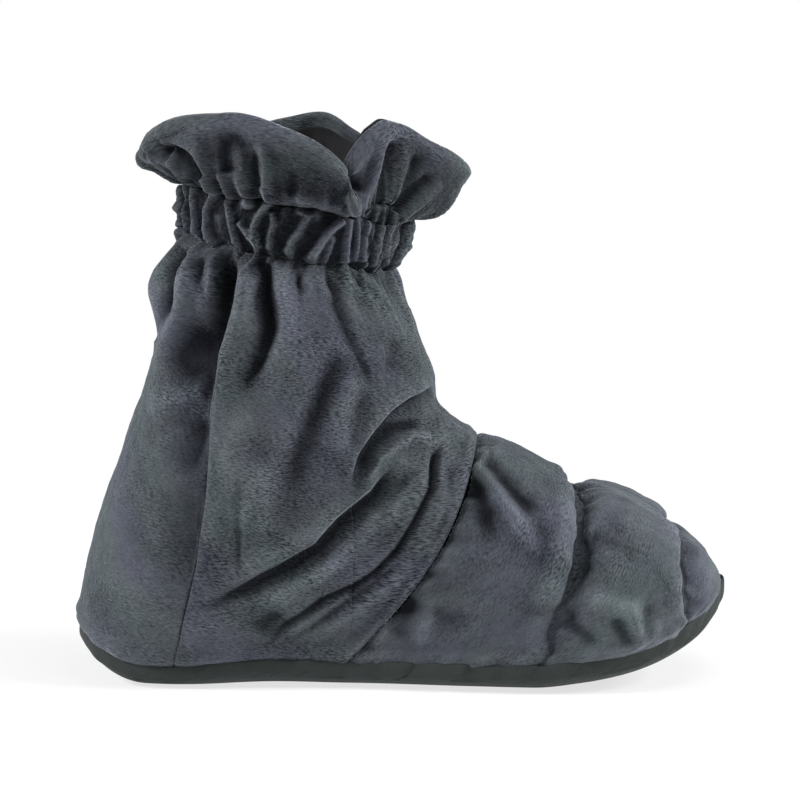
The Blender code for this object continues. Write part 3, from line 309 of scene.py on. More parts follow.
# Ridges of the gathered casing: angles in degrees at its foot, middle and top
CASING_RIDGES = (
    (13, 6, 2), (29, 28, 31), (35, 36, 39), (42, 43, 46), (54, 54, 53), (74, 70, 63),
    (85, 82, 76), (96, 95, 93), (103, 102, 100), (114, 118, 113), (130, 133, 127),
    (141, 147, 146), (160, 159, 158), (173, 175, 174), (187, 185, 188), (199, 202, 201),
    (213, 212, 216), (228, 226, 227), (241, 244, 240), (256, 254, 257), (268, 271, 269),
    (283, 281, 284), (296, 299, 297), (311, 309, 312), (323, 326, 325), (338, 336, 339),
    (351, 349, 350),
)

# Ruffle rim: angle in degrees, then reach outward, reach sideways and rise
RUFFLE_RIM_SHARES = (
    (0, 0.46, 0.00, 0.62), (9, 0.39, 0.00, 0.72), (19, 0.23, 0.00, 0.83), (29, 0.06, 0.00, 0.97),
    (40, 0.02, 0.00, 1.00), (50, 0.05, 0.06, 0.88), (57, 0.05, 0.19, 0.52), (63, 0.24, 0.00, 0.10),
    (69, 0.30, -0.04, 0.44), (78, 0.34, 0.00, 0.66), (90, 0.34, 0.00, 0.77), (106, 0.30, 0.00, 0.84),
    (122, 0.26, 0.00, 0.79), (138, 0.26, 0.00, 0.71), (154, 0.30, 0.00, 0.56), (168, 0.33, 0.00, 0.37),
    (180, 0.36, 0.00, 0.25), (196, 0.31, 0.00, 0.42), (212, 0.34, 0.00, 0.60), (228, 0.42, 0.00, 0.50),
    (246, 0.34, 0.00, 0.60), (264, 0.35, 0.00, 0.78), (280, 0.34, 0.00, 0.90), (294, 0.34, 0.00, 0.76),
    (310, 0.40, 0.00, 0.50), (326, 0.24, 0.00, 0.66), (343, 0.38, 0.00, 0.66),
)
# Folds down the ruffle: angle, width in degrees, then depth near its foot and at its rim
RUFFLE_FOLD_SHARES = (
    (24, 6, 0.10, 0.02), (36, 7, 0.15, 0.09), (47, 7, -0.07, -0.05), (75, 8, 0.13, 0.02),
    (91, 9, -0.09, -0.06), (106, 8, 0.17, 0.10), (128, 9, 0.12, 0.04), (148, 9, 0.14, 0.03),
    (168, 8, 0.10, 0.05), (187, 8, 0.13, 0.04), (205, 9, -0.08, -0.05), (221, 8, 0.15, 0.08),
    (239, 9, -0.06, -0.05), (256, 8, 0.14, 0.07), (274, 9, -0.07, -0.05), (292, 8, 0.15, 0.08),
    (316, 8, 0.12, 0.04), (340, 8, 0.12, 0.05), (3, 8, -0.06, -0.04),
)
# Folds, rolls and pockets of the ruffle's near face, in the form of the shaft's folds
RUFFLE_DRAWN = (
    (4, 8, 8, 0.4, 0.1, ((-64, 249), (-69, 244), (-73, 238), (-75, 232), (-73, 224))),
    (2.2, 3, 3, 0.3, 0.1, ((-60, 237), (-60, 228), (-59, 219))),
    (5.4, 2, 5, 0.15, 0.08, ((-105, 235), (-99, 236), (-93, 233), (-88, 228), (-84, 222))),
    (-2.8, 2.6, 2.6, 0.2, 0.1, ((-112, 230), (-103, 229), (-97, 227), (-92, 222))),
    (-1.8, 6, 6, 0.3, 0.1, ((-96, 242), (-88, 237), (-81, 229), (-79, 222))),
    (-1.8, 3, 3, 0.2, 0.1, ((-68, 237), (-66, 227), (-64, 218))),
    (-2.6, 3.4, 3.4, 0.2, 0.1, ((-58, 241), (-56, 231), (-56, 216))),
    (2, 7, 6, 0.4, 0.2, ((-42, 230), (-45, 224), (-48, 216))),
    (-4.6, 4.5, 2, 0.15, 0.1, ((-47, 215), (-38, 213), (-31, 211), (-23, 209))),
    (1.6, 2, 3, 0.1, 0.2, ((-110, 237), (-102, 240), (-93, 243), (-84, 246))),
    (-2.8, 4, 3, 0.15, 0.05, ((-9, 242), (-9, 234), (-10, 227), (-13, 219), (-16, 209))),
    (3.4, 6.5, 2.8, 0.15, 0.05, ((-5, 241), (-6, 232), (-7, 221), (-8, 210))),
    (3.6, 3.5, 3.5, 0.3, 0.25, ((-21, 228), (-21, 222), (-19, 216))),
    (-2.2, 3, 3, 0.2, 0.05, ((-16, 218), (-19, 213), (-20, 207))),
    (-2, 6, 6, 0.2, 0.05, ((5, 238), (2, 225), (-2, 211))),
    (3, 5, 5, 0.2, 0.05, ((9, 236), (6, 224), (1, 209))),
    (3.8, 2.5, 3, 0.15, 0.05, ((15, 224), (7, 215), (1, 207))),
    (-2.4, 3, 3, 0.15, 0.05, ((19, 221), (12, 212), (4, 204))),
)
# Rolls of the casing's near face, drawn in the same form as the shaft's folds
CASING_DRAWN = (
    (-3, 2.2, 2.2, 0.08, 0.08, ((-98, 220), (-99, 211), (-98, 197))),
    (-3.6, 2.4, 2.4, 0.05, 0.08, ((-91, 221), (-93, 214), (-92, 206), (-90, 197))),
    (-4.2, 2.6, 2.2, 0.05, 0.08, ((-77, 220), (-82, 216), (-85, 209), (-85, 202), (-84, 194))),
    (-1.4, 3, 3, 0.2, 0.2, ((-79, 208), (-79, 198))),
    (-4, 2.2, 2.2, 0.05, 0.08, ((-68, 219), (-73, 216), (-75, 212), (-73, 205), (-72, 199), (-71, 193))),
    (-4.4, 3.4, 3.4, 0.3, 0.3, ((-65, 216), (-65, 213), (-64, 209))),
    (-3.4, 2.2, 2.2, 0.1, 0.1, ((-70, 205), (-65, 198), (-59, 193))),
    (-4, 2.4, 2.2, 0.05, 0.1, ((-51, 215), (-57, 212), (-61, 207), (-63, 201), (-61, 195))),
    (-3.2, 2.2, 2.2, 0.1, 0.1, ((-55, 210), (-54, 204), (-56, 198), (-57, 192))),
    (-3.6, 2.4, 2.4, 0.1, 0.08, ((-45, 211), (-39, 207), (-42, 201), (-46, 196), (-49, 190))),
    (-4, 2.8, 2.4, 0.08, 0.05, ((-23, 206), (-29, 201), (-34, 195), (-40, 187))),
    (-2.4, 2, 2, 0.2, 0.1, ((-27, 199), (-30, 192), (-32, 185))),
    (-4, 2.2, 2.2, 0.05, 0.05, ((-20, 206), (-22, 197), (-23, 186))),
    (-2.8, 1.8, 1.8, 0.05, 0.05, ((-17, 208), (-17, 199), (-18, 186))),
    (-3.4, 2, 2, 0.05, 0.05, ((-11, 205), (-14, 197), (-15, 186))),
    (-3.2, 2, 2, 0.05, 0.05, ((-5, 204), (-8, 193), (-10, 183))),
    (-2.8, 1.6, 1.8, 0.05, 0.05, ((-1, 203), (-4, 193), (-6, 183))),
    (-2.6, 1.6, 1.6, 0.05, 0.05, ((3, 200), (0, 191), (-2, 183))),
)

# Grid sizes
SHAFT_ROWS = 236
SIDE_COLUMNS = 76
HEEL_COLUMNS = 168
FRONT_COLUMNS = 148
PANEL_COLUMNS = (SIDE_COLUMNS, HEEL_COLUMNS, SIDE_COLUMNS, FRONT_COLUMNS)
VAMP_ROWS = (96, 78, 56)
VAMP_COLUMNS = 212
VAMP_LINING_ROWS = (44, 34, 22)
VAMP_LINING_COLUMNS = 96
SHAFT_LINING_ROWS = 110
SHAFT_LINING_COLUMNS = 180
CUFF_LINING_ROWS = 19
CASING_ROWS = 46
CASING_COLUMNS = 620
ELASTIC_ROWS = 14
ELASTIC_COLUMNS = 300
RUFFLE_ROWS = 66
RUFFLE_COLUMNS = 640
RUFFLE_LINING_ROWS = 58
FLANGE_ROWS = 5
SOLE_STATIONS = 240
PAD_STATIONS = 60
EDGE_STATIONS = 620
CURVE_SAMPLES = 400
NOISE_CELLS = 512


def smooth_value(table, place):
    """Value at a place of a table of (place, value) pairs, on a curve that doesn't overshoot."""
    x, y = np.array(table, float).T
    step = np.diff(x)
    slope = np.diff(y) / step
    inner = np.zeros(len(x) - 2)
    rising = slope[:-1] * slope[1:] > 0
    inner[rising] = 2 * (slope[:-1] * slope[1:])[rising] / (slope[:-1] + slope[1:])[rising]
    tangent = np.concatenate([[slope[0]], inner, [slope[-1]]])
    place = np.asarray(place, float)
    span = np.clip(np.searchsorted(x, place, side="right") - 1, 0, len(step) - 1)
    t = (place - x[span]) / step[span]
    h = step[span]
    return (
        y[span] * (1 + 2 * t) * (1 - t) ** 2
        + tangent[span] * h * t * (1 - t) ** 2
        + y[span + 1] * t**2 * (3 - 2 * t)
        + tangent[span + 1] * h * t**2 * (t - 1)
    )


def periodic_value(table, angle):
    """Value of a table that repeats every full turn, at an angle in degrees."""
    whole = [(a + k * FULL_TURN, v) for k in (-1, 0, 1) for a, v in table]
    return smooth_value(whole, np.mod(angle, FULL_TURN))


def curve_through(points, samples, closed=False):
    """Catmull-Rom curve through points, with so many samples in each span."""
    points = np.asarray(points, float)
    if closed:
        padded = np.vstack([points[-1:], points, points[:2]])
    else:
        padded = np.vstack([2 * points[0] - points[1], points, 2 * points[-1] - points[-2]])
    t = np.linspace(0, 1, samples, endpoint=False)[:, None]
    spans = []
    for a, b, c, d in zip(padded, padded[1:], padded[2:], padded[3:]):
        spans.append(0.5 * (2 * b + (c - a) * t + (2 * a - 5 * b + 4 * c - d) * t**2
                            + (3 * b - a - 3 * c + d) * t**3))
    return np.vstack(spans + ([] if closed else [points[-1:]]))


def between(x, places, values):
    """Vectors at x, where each of the values stands at its place."""
    return np.stack([np.interp(x, places, axis) for axis in values.T], axis=-1)


def way_along(line):
    """Distance travelled along a polyline at each of its points."""
    return np.concatenate([[0], np.cumsum(np.linalg.norm(np.diff(line, axis=0), axis=1))])


def at_shares(line, shares, values=None):
    """Points at shares of a polyline's length, or values that are given at its points."""
    length = way_along(line)
    return between(shares, length / length[-1], line if values is None else values)


def unit(vectors):
    """Vectors scaled to length one."""
    return vectors / np.maximum(np.linalg.norm(vectors, axis=-1, keepdims=True), 1e-12)


def bell(off, width, power=2):
    """Share that falls from one at no distance off to almost nothing at twice a width."""
    return np.exp(-((off / width) ** power))


def eased(share):
    """Share from 0 to 1 with a soft start and end."""
    return share * share * (3 - 2 * share)


def signed_turn(angle):
    """Angle in degrees brought between half a turn back and half a turn on."""
    return np.mod(angle + BACK_ANGLE, FULL_TURN) - BACK_ANGLE


def half_outline():
    """Right edge of the sole from heel to toe, as evenly spaced x and half width."""
    half = np.array(SOLE_OUTLINE_SHARES) * (SOLE_LENGTH, SOLE_HALF_WIDTH)
    ring = np.vstack([half, half[-2:0:-1] * (1, -1)])
    samples = CURVE_SAMPLES // len(half)
    dense = curve_through(ring, samples, closed=True)[: samples * (len(half) - 1) + 1]
    return at_shares(dense, np.linspace(0, 1, CURVE_SAMPLES))


OUTLINE = half_outline()


def edge_share_at(x):
    """Share of the half outline at which the edge reaches x."""
    return np.interp(x, OUTLINE[:, 0], np.linspace(0, 1, CURVE_SAMPLES))


def edge_points(shares, inward=0.0):
    """Plan points of the right edge at shares of its length, moved inward by a distance."""
    places = np.linspace(0, 1, CURVE_SAMPLES)
    point = between(shares, places, OUTLINE)
    along = unit(between(shares, places, np.gradient(OUTLINE, axis=0)))
    inner = point + inward * np.stack([along[..., 1], -along[..., 0]], axis=-1)
    return np.stack([inner[..., 0], np.maximum(inner[..., 1], 0.0)], axis=-1)


def sole_height(x, inward):
    """Height of the outsole's underside at x, a distance inward from the edge."""
    share = np.clip(x / SOLE_LENGTH, 0, 1)
    toe = smooth_value(TOE_SPRING_SHARES, share)
    heel = np.maximum(0, 1 - share / HEEL_BREAK_SHARE) ** 2
    curl = smooth_value(EDGE_CURL_SHARES, share) * np.maximum(0, 1 - inward / CURL_WIDTH) ** 2
    return TOE_SPRING * toe + HEEL_SPRING * heel + EDGE_CURL * curl


def edge_stack():
    """Heights above the outsole's underside of the layers held in the tape."""
    footbed = OUTSOLE + GAP
    tape_top = footbed + FOOTBED + GAP + TAPE
    return {"tape": -GAP - TAPE, "footbed": footbed, "tape_top": tape_top, "upper": tape_top + GAP}


def on_edge(shares, inward, level):
    """Points of the right edge in space, inward by a distance and at a level of the stack."""
    plan = edge_points(shares, inward)
    height = sole_height(plan[..., 0], inward) + level
    return np.stack([plan[..., 0], -plan[..., 1], height], axis=-1)


def mirrored(points):
    """Points reflected in the slipper's middle plane."""
    return points * (1, -1, 1)


def grid_normals(grid, closed):
    """Outward unit normals of a grid of rows and columns."""
    down = np.gradient(grid, axis=0)
    if closed:
        across = (np.roll(grid, -1, axis=1) - np.roll(grid, 1, axis=1)) / 2
    else:
        across = np.gradient(grid, axis=1)
    return unit(np.cross(down, across))


def section_point(top, foot, angle, bow):
    """Point of the vamp's arch at an angle from the right foot, over the crest, to the left."""
    rise = np.sin(angle) ** SECTION_RISE_POWER
    spread = np.sign(np.cos(angle)) * np.abs(np.cos(angle)) ** SECTION_WIDTH_POWER
    spread = spread * (1 + SECTION_BULGE_SHARE * np.abs(np.sin(2 * angle)))
    x = foot[..., 0] + (top[..., 0] - foot[..., 0]) * rise + bow * np.sin(math.pi * rise)
    z = foot[..., 2] + (top[..., 2] - foot[..., 2]) * rise
    return np.stack([x, foot[..., 1] * spread, z], axis=-1)


def vamp_base(places, angles):
    """Plush face of the vamp before the channels puff it, as rows along the foot."""
    feet = edge_share_at(SOLE_LENGTH * np.array(QUILT_FOOT_SHARES))
    foot_shares = smooth_value(list(zip(QUILT_SHARES, feet)), places)
    bow = QUILT_BOW * smooth_value(list(zip(QUILT_SHARES, QUILT_BOW_SHARES)), places)
    foot = on_edge(foot_shares, 0.0, edge_stack()["upper"])
    tip = on_edge(np.array([1.0]), 0.0, edge_stack()["upper"])[0]
    along = smooth_value([(s, x) for s, x, z in CREST_SHARES], places)
    above = smooth_value([(s, z) for s, x, z in CREST_SHARES], places)
    instep_x = SOLE_LENGTH - INSTEP_SETBACK
    top = np.stack([
        instep_x + (tip[0] - instep_x) * along,
        np.zeros(len(places)),
        tip[2] + (INSTEP_HEIGHT - tip[2]) * above,
    ], axis=-1)
    return section_point(top[:, None], foot[:, None], np.clip(angles, 0, math.pi)[None], bow[:, None])


def puff_at(places, angles):
    """Height that the grain gives each point of the vamp above its base."""
    channel = np.clip(np.searchsorted(QUILT_SHARES, places, side="right") - 1, 0, len(VAMP_PUFFS) - 1)
    start, end = np.array(QUILT_SHARES)[channel], np.array(QUILT_SHARES)[channel + 1]
    across = np.abs(2 * (places - start) / (end - start) - 1)
    crown = np.array(VAMP_PUFFS)[channel] * (1 - across**PUFF_POWER)
    edge = np.abs(np.sin(angles)) ** PUFF_EDGE_POWER * (1 + PUFF_SIDE_SHARE * np.sin(2 * angles) ** 2)
    return crown[:, None] * edge[None]


def vamp_normals(grid):
    """Outward normals of the vamp, level at its foot and straight ahead at the toe."""
    normals = grid_normals(grid, False)
    normals[:, (0, -1), 2] = 0
    normals[-1] = (1, 0, 0)
    return unit(normals)


def ring(height):
    """Centre, half length and half width of the cuff, a height above the collar."""
    lean = math.atan2(2 * COLLAR_TILT, COLLAR_LENGTH)
    wide = CASING_FLARE * min(height, CASING_HEIGHT) / CASING_HEIGHT
    centre = np.array([
        COLLAR_SETBACK + COLLAR_LENGTH / 2 + height * math.sin(lean), 0,
        COLLAR_HEIGHT + height * math.cos(lean),
    ])
    forward = np.array([COLLAR_LENGTH / 2 + wide, 0, -COLLAR_TILT * (1 + 2 * wide / COLLAR_LENGTH)])
    return centre, forward, COLLAR_WIDTH / 2 + wide


def cuff_ring(height, angles):
    """Points of the cuff at angles in degrees, a height above the collar."""
    centre, forward, half_width = ring(height)
    turn = np.radians(angles)[..., None]
    return centre + forward * np.cos(turn) - np.array([0, half_width, 0]) * np.sin(turn)


def cuff_outward(angles):
    """Level directions pointing out of the cuff at angles in degrees."""
    turn = np.radians(angles)
    out = np.stack([np.cos(turn) * COLLAR_WIDTH, -np.sin(turn) * COLLAR_LENGTH, 0 * turn], axis=-1)
    return unit(out)


def ankle_rings():
    """Front point, back point, half width and seam shift of each ring up to the collar."""
    centre, forward, half_width = ring(0)
    front, back = centre + forward, centre - forward
    instep = np.array([SOLE_LENGTH - INSTEP_SETBACK, 0, INSTEP_HEIGHT])
    found = []
    for fx, fz, bx, bz, wide, shift in ANKLE_RING_SHARES:
        ahead = (front[0] + (instep[0] - front[0]) * fx, 0, instep[2] + (front[2] - instep[2]) * fz)
        behind = (back[0] * bx, 0, back[2] * bz)
        girth = half_width + (ANKLE_HALF_WIDTH - half_width) * wide
        found.append((np.array(ahead), np.array(behind), girth, shift))
    return found


def ankle_foot(angle):
    """Lower end of the ankle's column at an angle from 0 to 180 degrees: seam or sole edge."""
    corner = edge_share_at(SOLE_LENGTH * QUILT_FOOT_SHARES[0])
    seam = edge_share_at(SOLE_LENGTH * HEEL_SEAM_FOOT_SHARE)
    level = edge_stack()["upper"]
    if angle <= FRONT_SEAM_ANGLE:
        foot = on_edge(np.array([corner]), 0.0, level)[0]
        top = np.array([SOLE_LENGTH - INSTEP_SETBACK, 0, INSTEP_HEIGHT])
        arch = math.pi / 2 * (1 - angle / FRONT_SEAM_ANGLE)
        return section_point(top, foot, arch, QUILT_BOW * QUILT_BOW_SHARES[0])
    stops = (FRONT_SEAM_ANGLE, HEEL_SEAM_ANGLE, BACK_ANGLE)
    share = np.interp(angle, stops, (corner, seam, 0.0))
    return on_edge(np.array([share]), 0.0, level)[0]


def ankle_column(angle, shares):
    """Points up the ankle at an angle, at shares of the way from foot to collar."""
    turn = angle if angle <= BACK_ANGLE else FULL_TURN - angle
    stops = (0, FRONT_SEAM_ANGLE, HEEL_SEAM_ANGLE, BACK_ANGLE)
    foot = ankle_foot(turn)
    line = [foot]
    for front, back, half_width, shift in ankle_rings():
        at = math.radians(turn - shift * np.interp(turn, stops, (0, 1, 0, 0)))
        across = np.array([0, half_width * math.sin(at), 0])
        line.append((front + back) / 2 + (front - back) / 2 * math.cos(at) - across)
    weight = smooth_value(list(zip(stops, BULGE_WEIGHTS)), turn)
    outward = cuff_outward(np.array(turn))
    bulge = foot + (line[1] - foot) * BULGE_PLACE_SHARE + outward * SIDE_BULGE * weight
    line.insert(1, bulge)
    column = at_shares(curve_through(line, CURVE_SAMPLES // 10), shares)
    return column if angle <= BACK_ANGLE else mirrored(column)


def fold_envelope(shares):
    """Share of the full fold depth that a row can have, from the sewn foot to the collar."""
    return smooth_value(FOLD_ENVELOPE, shares)


def along_line(points, line):
    """Least distance from side view points to a polyline, its side (left is positive) and its share."""
    least = np.full(points.shape[:-1], np.inf)
    side, share = np.zeros(least.shape), np.zeros(least.shape)
    length = way_along(line)
    for i, (a, b) in enumerate(zip(line, line[1:])):
        way, off = b - a, points - a
        t = np.clip(off @ way / (way @ way), 0, 1)
        distance = np.linalg.norm(off - t[..., None] * way, axis=-1)
        nearer = distance < least
        least = np.where(nearer, distance, least)
        side = np.where(nearer, way[0] * off[..., 1] - way[1] * off[..., 0], side)
        share = np.where(nearer, (length[i] + t * (length[i + 1] - length[i])) / length[-1], share)
    return least, side, share


def fold_profile(off, left, right):
    """Share of a fold's depth at a signed distance off its line, with a width for either side."""
    return bell(FOLD_SHARPNESS * off, np.where(off > 0, left, right))


def drawn_folds(grid, rows, side):
    """Depth in metres that the folds drawn on one side (-1 is near) give each point of a grid."""
    deep = np.zeros(grid.shape[:2])
    this_side = np.clip(2 * side * grid[..., 1] / ANKLE_HALF_WIDTH, 0, 1)
    placed = (grid - ORIGIN)[..., (0, 2)] / MM
    for depth, left, right, start, end, line in rows:
        distance, hand, share = along_line(placed, np.array(line, float))
        fade = eased(np.clip(share / start, 0, 1) * np.clip((1 - share) / end, 0, 1))
        deep += depth * MM * this_side * fade * fold_profile(np.copysign(distance, hand), left, right)
    return deep


def gather_depths(angles, shares):
    """Depth in metres of the gathers below the collar."""
    deep = np.zeros((len(shares), len(angles)))
    below = 1 - shares[:, None]
    for angle, left, right, depth, reach, drift in GATHERS:
        off = signed_turn(angles[None] - angle - drift * below / reach)
        fade = np.clip(1 - below / reach, 0, 1) ** FOLD_FADE_POWER
        deep += depth * MM * fade * fold_profile(off / (1 + below / reach), left, right)
    return deep


def noise(x, y, seed, period=NOISE_CELLS):
    """Gradient noise over a plane, within about -1 to 1, that repeats in x after a whole period."""
    turns = np.random.default_rng(seed).uniform(0, 2 * math.pi, (NOISE_CELLS, NOISE_CELLS))
    x, y = np.broadcast_arrays(np.asarray(x, float), np.asarray(y, float))
    x0, y0 = np.floor(x).astype(int), np.floor(y).astype(int)
    fx, fy = x - x0, y - y0
    wx, wy = (f**3 * (f * (f * 6 - 15) + 10) for f in (fx, fy))
    total = np.zeros(x.shape)
    for dx, dy in ((0, 0), (0, 1), (1, 0), (1, 1)):
        turn = turns[(x0 + dx) % period, (y0 + dy) % NOISE_CELLS]
        weight = (wx if dx else 1 - wx) * (wy if dy else 1 - wy)
        total += weight * (np.cos(turn) * (fx - dx) + np.sin(turn) * (fy - dy))
    return total * 1.5


def noise_round(angles, cells, down, seed):
    """Noise over angles in degrees that closes after a full turn of so many cells."""
    return noise(angles / FULL_TURN * cells, down, seed, cells)


def arc_lengths(grid, axis):
    """Distance travelled along one axis of a grid from its first row or column."""
    steps = np.linalg.norm(np.diff(grid, axis=axis), axis=-1)
    pad = [(0, 0), (0, 0)]
    pad[axis] = (1, 0)
    return np.pad(np.cumsum(steps, axis=axis), pad)


def cloth_map(grid, closed=False, last_row_first=False):
    """Distances across and down a grid, in metres, for the cloth's pattern."""
    whole = np.concatenate([grid, grid[:, :1]], axis=1) if closed else grid
    across = arc_lengths(whole, 1)
    if not closed:
        across = across - across[:, whole.shape[1] // 2][:, None]
    elif last_row_first:
        middle = across[:, -1 - FRONT_COLUMNS // 2][:, None]
        behind = np.arange(whole.shape[1]) < SIDE_COLUMNS + HEEL_COLUMNS
        across = across - middle + np.where(behind[None], across[:, -1:], 0)
    down = arc_lengths(whole, 0)
    if last_row_first:
        down = down - down[-1:]
    return np.stack([across, down], axis=-1)


def pile_relief(u, v, seed, girth=None):
    """Wrinkles and clumps of the plush in metres, over distances across and down the cloth.

    With a girth they close after it, for a cloth that goes all the way round.
    """
    cells = [round(girth / size) if girth else NOISE_CELLS for size, _, _ in PILE_CLUMPS]
    across = [u / girth * n if girth else u / size for n, (size, _, _) in zip(cells, PILE_CLUMPS)]
    swirl = noise(across[0] if girth else u / PILE_SWIRL, v / PILE_SWIRL, seed + 9, cells[0])
    relief = np.zeros(np.broadcast(u, v).shape)
    for k, (_, long, high) in enumerate(PILE_CLUMPS):
        relief += high * noise(across[k], (v + PILE_STRAY * swirl) / long, seed + k, cells[k])
    return relief


def corner_grid(rows, columns, closed):
    """Row and column of the four corners of each quad of a grid."""
    i, j = np.meshgrid(np.arange(rows - 1), np.arange(columns if closed else columns - 1), indexing="ij")
    i, j = i.ravel(), j.ravel()
    return np.stack([np.stack([i, j], -1), np.stack([i + 1, j], -1),
                     np.stack([i + 1, j + 1], -1), np.stack([i, j + 1], -1)], axis=1)


def rim_pairs(rows, columns, closed):
    """Pairs of neighbouring grid places round the open edges of a grid."""
    wide = columns + 1 if closed else columns
    first = [(0, j) for j in range(wide)]
    last = [(rows - 1, j) for j in range(wide - 1, -1, -1)]
    if closed:
        loops = [first, last]
    else:
        right = [(i, columns - 1) for i in range(1, rows - 1)]
        left = [(i, 0) for i in range(rows - 2, 0, -1)]
        loops = [first + right + last + left + first[:1]]
    return np.array([pair for loop in loops for pair in zip(loop, loop[1:])])


def hollows(grid, normals, closed, cell=0.0007):
    """How far each point lies in a hollow (over 0) or on a ridge (under 0) of its surroundings, for painted
    shade in hollows and a painted highlight on ridges.
    """
    rows, columns = grid.shape[:2]
    i, j = np.arange(rows), np.arange(columns)
    total = np.zeros((rows, columns))
    for reach, weight in ((3, 0.30), (7, 0.40), (14, 0.30)):
        around = np.zeros(grid.shape)
        for di, dj in ((reach, 0), (-reach, 0), (0, reach), (0, -reach)):
            jj = (j + dj) % columns if closed else np.clip(j + dj, 0, columns - 1)
            around += grid[np.clip(i + di, 0, rows - 1)[:, None], jj[None]]
        rise = ((around / 4 - grid) * normals).sum(axis=-1)
        total += weight * rise / (reach * cell)
    return np.clip(total * 2.6, -1, 1)


def new_object(name, data):
    """Object in the scene for a mesh, a lamp or a camera."""
    made = bpy.data.objects.new(name, data)
    bpy.context.scene.collection.objects.link(made)
    return made


def finish_mesh(name, points, quads, uvs, material, shade=None):
    """Smooth object from points, quads and the cloth map of each quad's corners.

    The painted shade of each point, over 0 in hollows where it darkens the plush's colour and under 0 on
    ridges where it lightens it as a painted highlight, is read by the plush.
    """
    mesh = bpy.data.meshes.new(name)
    mesh.from_pydata((points - ORIGIN).tolist(), [], quads.tolist())
    # Painted shade and painted highlight, kept as a point attribute that the plush multiplies into its colour
    depth = mesh.attributes.new("painted_shade_and_highlight", "FLOAT", "POINT")
    if shade is not None:
        depth.data.foreach_set("value", np.ascontiguousarray(shade, np.float32))
    layer = mesh.uv_layers.new(name="cloth")
    layer.data.foreach_set("uv", np.ascontiguousarray(uvs, np.float32).ravel())
    shaped = bmesh.new()
    shaped.from_mesh(mesh)
    bmesh.ops.remove_doubles(shaped, verts=shaped.verts, dist=WELD)
    bmesh.ops.dissolve_degenerate(shaped, dist=WELD, edges=shaped.edges)
    shaped.to_mesh(mesh)
    shaped.free()
    mesh.shade_smooth()
    mesh.materials.append(material)
    return new_object(name, mesh)


def shell(name, outer, inner, cloth, material, closed=False, shade=None):
    """Closed body between two grids of points, with the cloth map of its rows and columns."""
    rows, columns = outer.shape[:2]
    corners = corner_grid(rows, columns, closed)
    pairs = rim_pairs(rows, columns, closed)
    walls = np.stack([pairs[:, 0], pairs[:, 1], pairs[:, 1], pairs[:, 0]], axis=1)
    places = np.concatenate([corners, corners[:, ::-1], walls])
    quads = places[..., 0] * columns + places[..., 1] % columns
    quads[len(corners):2 * len(corners)] += rows * columns
    quads[2 * len(corners):, 2:] += rows * columns
    uvs = cloth[places[..., 0], places[..., 1]]
    points = np.concatenate([outer.reshape(-1, 3), inner.reshape(-1, 3)])
    if shade is not None:
        shade = np.concatenate([shade.ravel(), shade.ravel()])
    return finish_mesh(name, points, quads, uvs, material, shade=shade)


def tube(name, loop, cloth, material):
    """Closed body of rings: a grid whose rows and columns both wrap round."""
    rows, columns = loop.shape[:2]
    corners = corner_grid(rows + 1, columns, True)
    quads = corners[..., 0] % rows * columns + corners[..., 1] % columns
    uvs = cloth[corners[..., 0], corners[..., 1]]
    return finish_mesh(name, loop.reshape(-1, 3), quads, uvs, material)


# Materials

PLUSH_SHADES = (
    (0.30, (0.012, 0.015, 0.019)), (0.42, (0.046, 0.052, 0.060)), (0.50, (0.074, 0.082, 0.092)),
    (0.60, (0.102, 0.112, 0.124)), (0.74, (0.140, 0.152, 0.166)),
)
PLUSH_CASTS = ((0.38, (0.96, 0.94, 1.05)), (0.52, (0.98, 1.0, 1.0)), (0.66, (0.95, 1.05, 0.99)))
# Painted shade and highlight: what the pile's colour is multiplied by, from lightened ridges at low places to
# darkened hollows at high ones
PAINTED_SHADE_AND_HIGHLIGHT = (
    (0.10, (1.55, 1.55, 1.53)), (0.40, (1.10, 1.10, 1.10)), (0.56, (0.84, 0.83, 0.84)),
    (0.88, (0.22, 0.22, 0.24)),
)
GRAIN_SHADES = ((0.30, (0.42, 0.36, 0.27)), (0.52, (0.56, 0.50, 0.40)), (0.72, (0.68, 0.63, 0.54)))


def feed(tree, socket, value):
    """Link a socket to an output, or set it to a value."""
    if isinstance(value, bpy.types.NodeSocket):
        tree.links.new(value, socket)
    else:
        socket.default_value = value


def add_node(tree, kind, *inputs, operation=None):
    """Outputs of a new node whose first inputs are fed in turn."""
    node = tree.nodes.new(kind)
    if operation:
        node.operation = operation
    for socket, value in zip(node.inputs, inputs):
        feed(tree, socket, value)
    return node.outputs


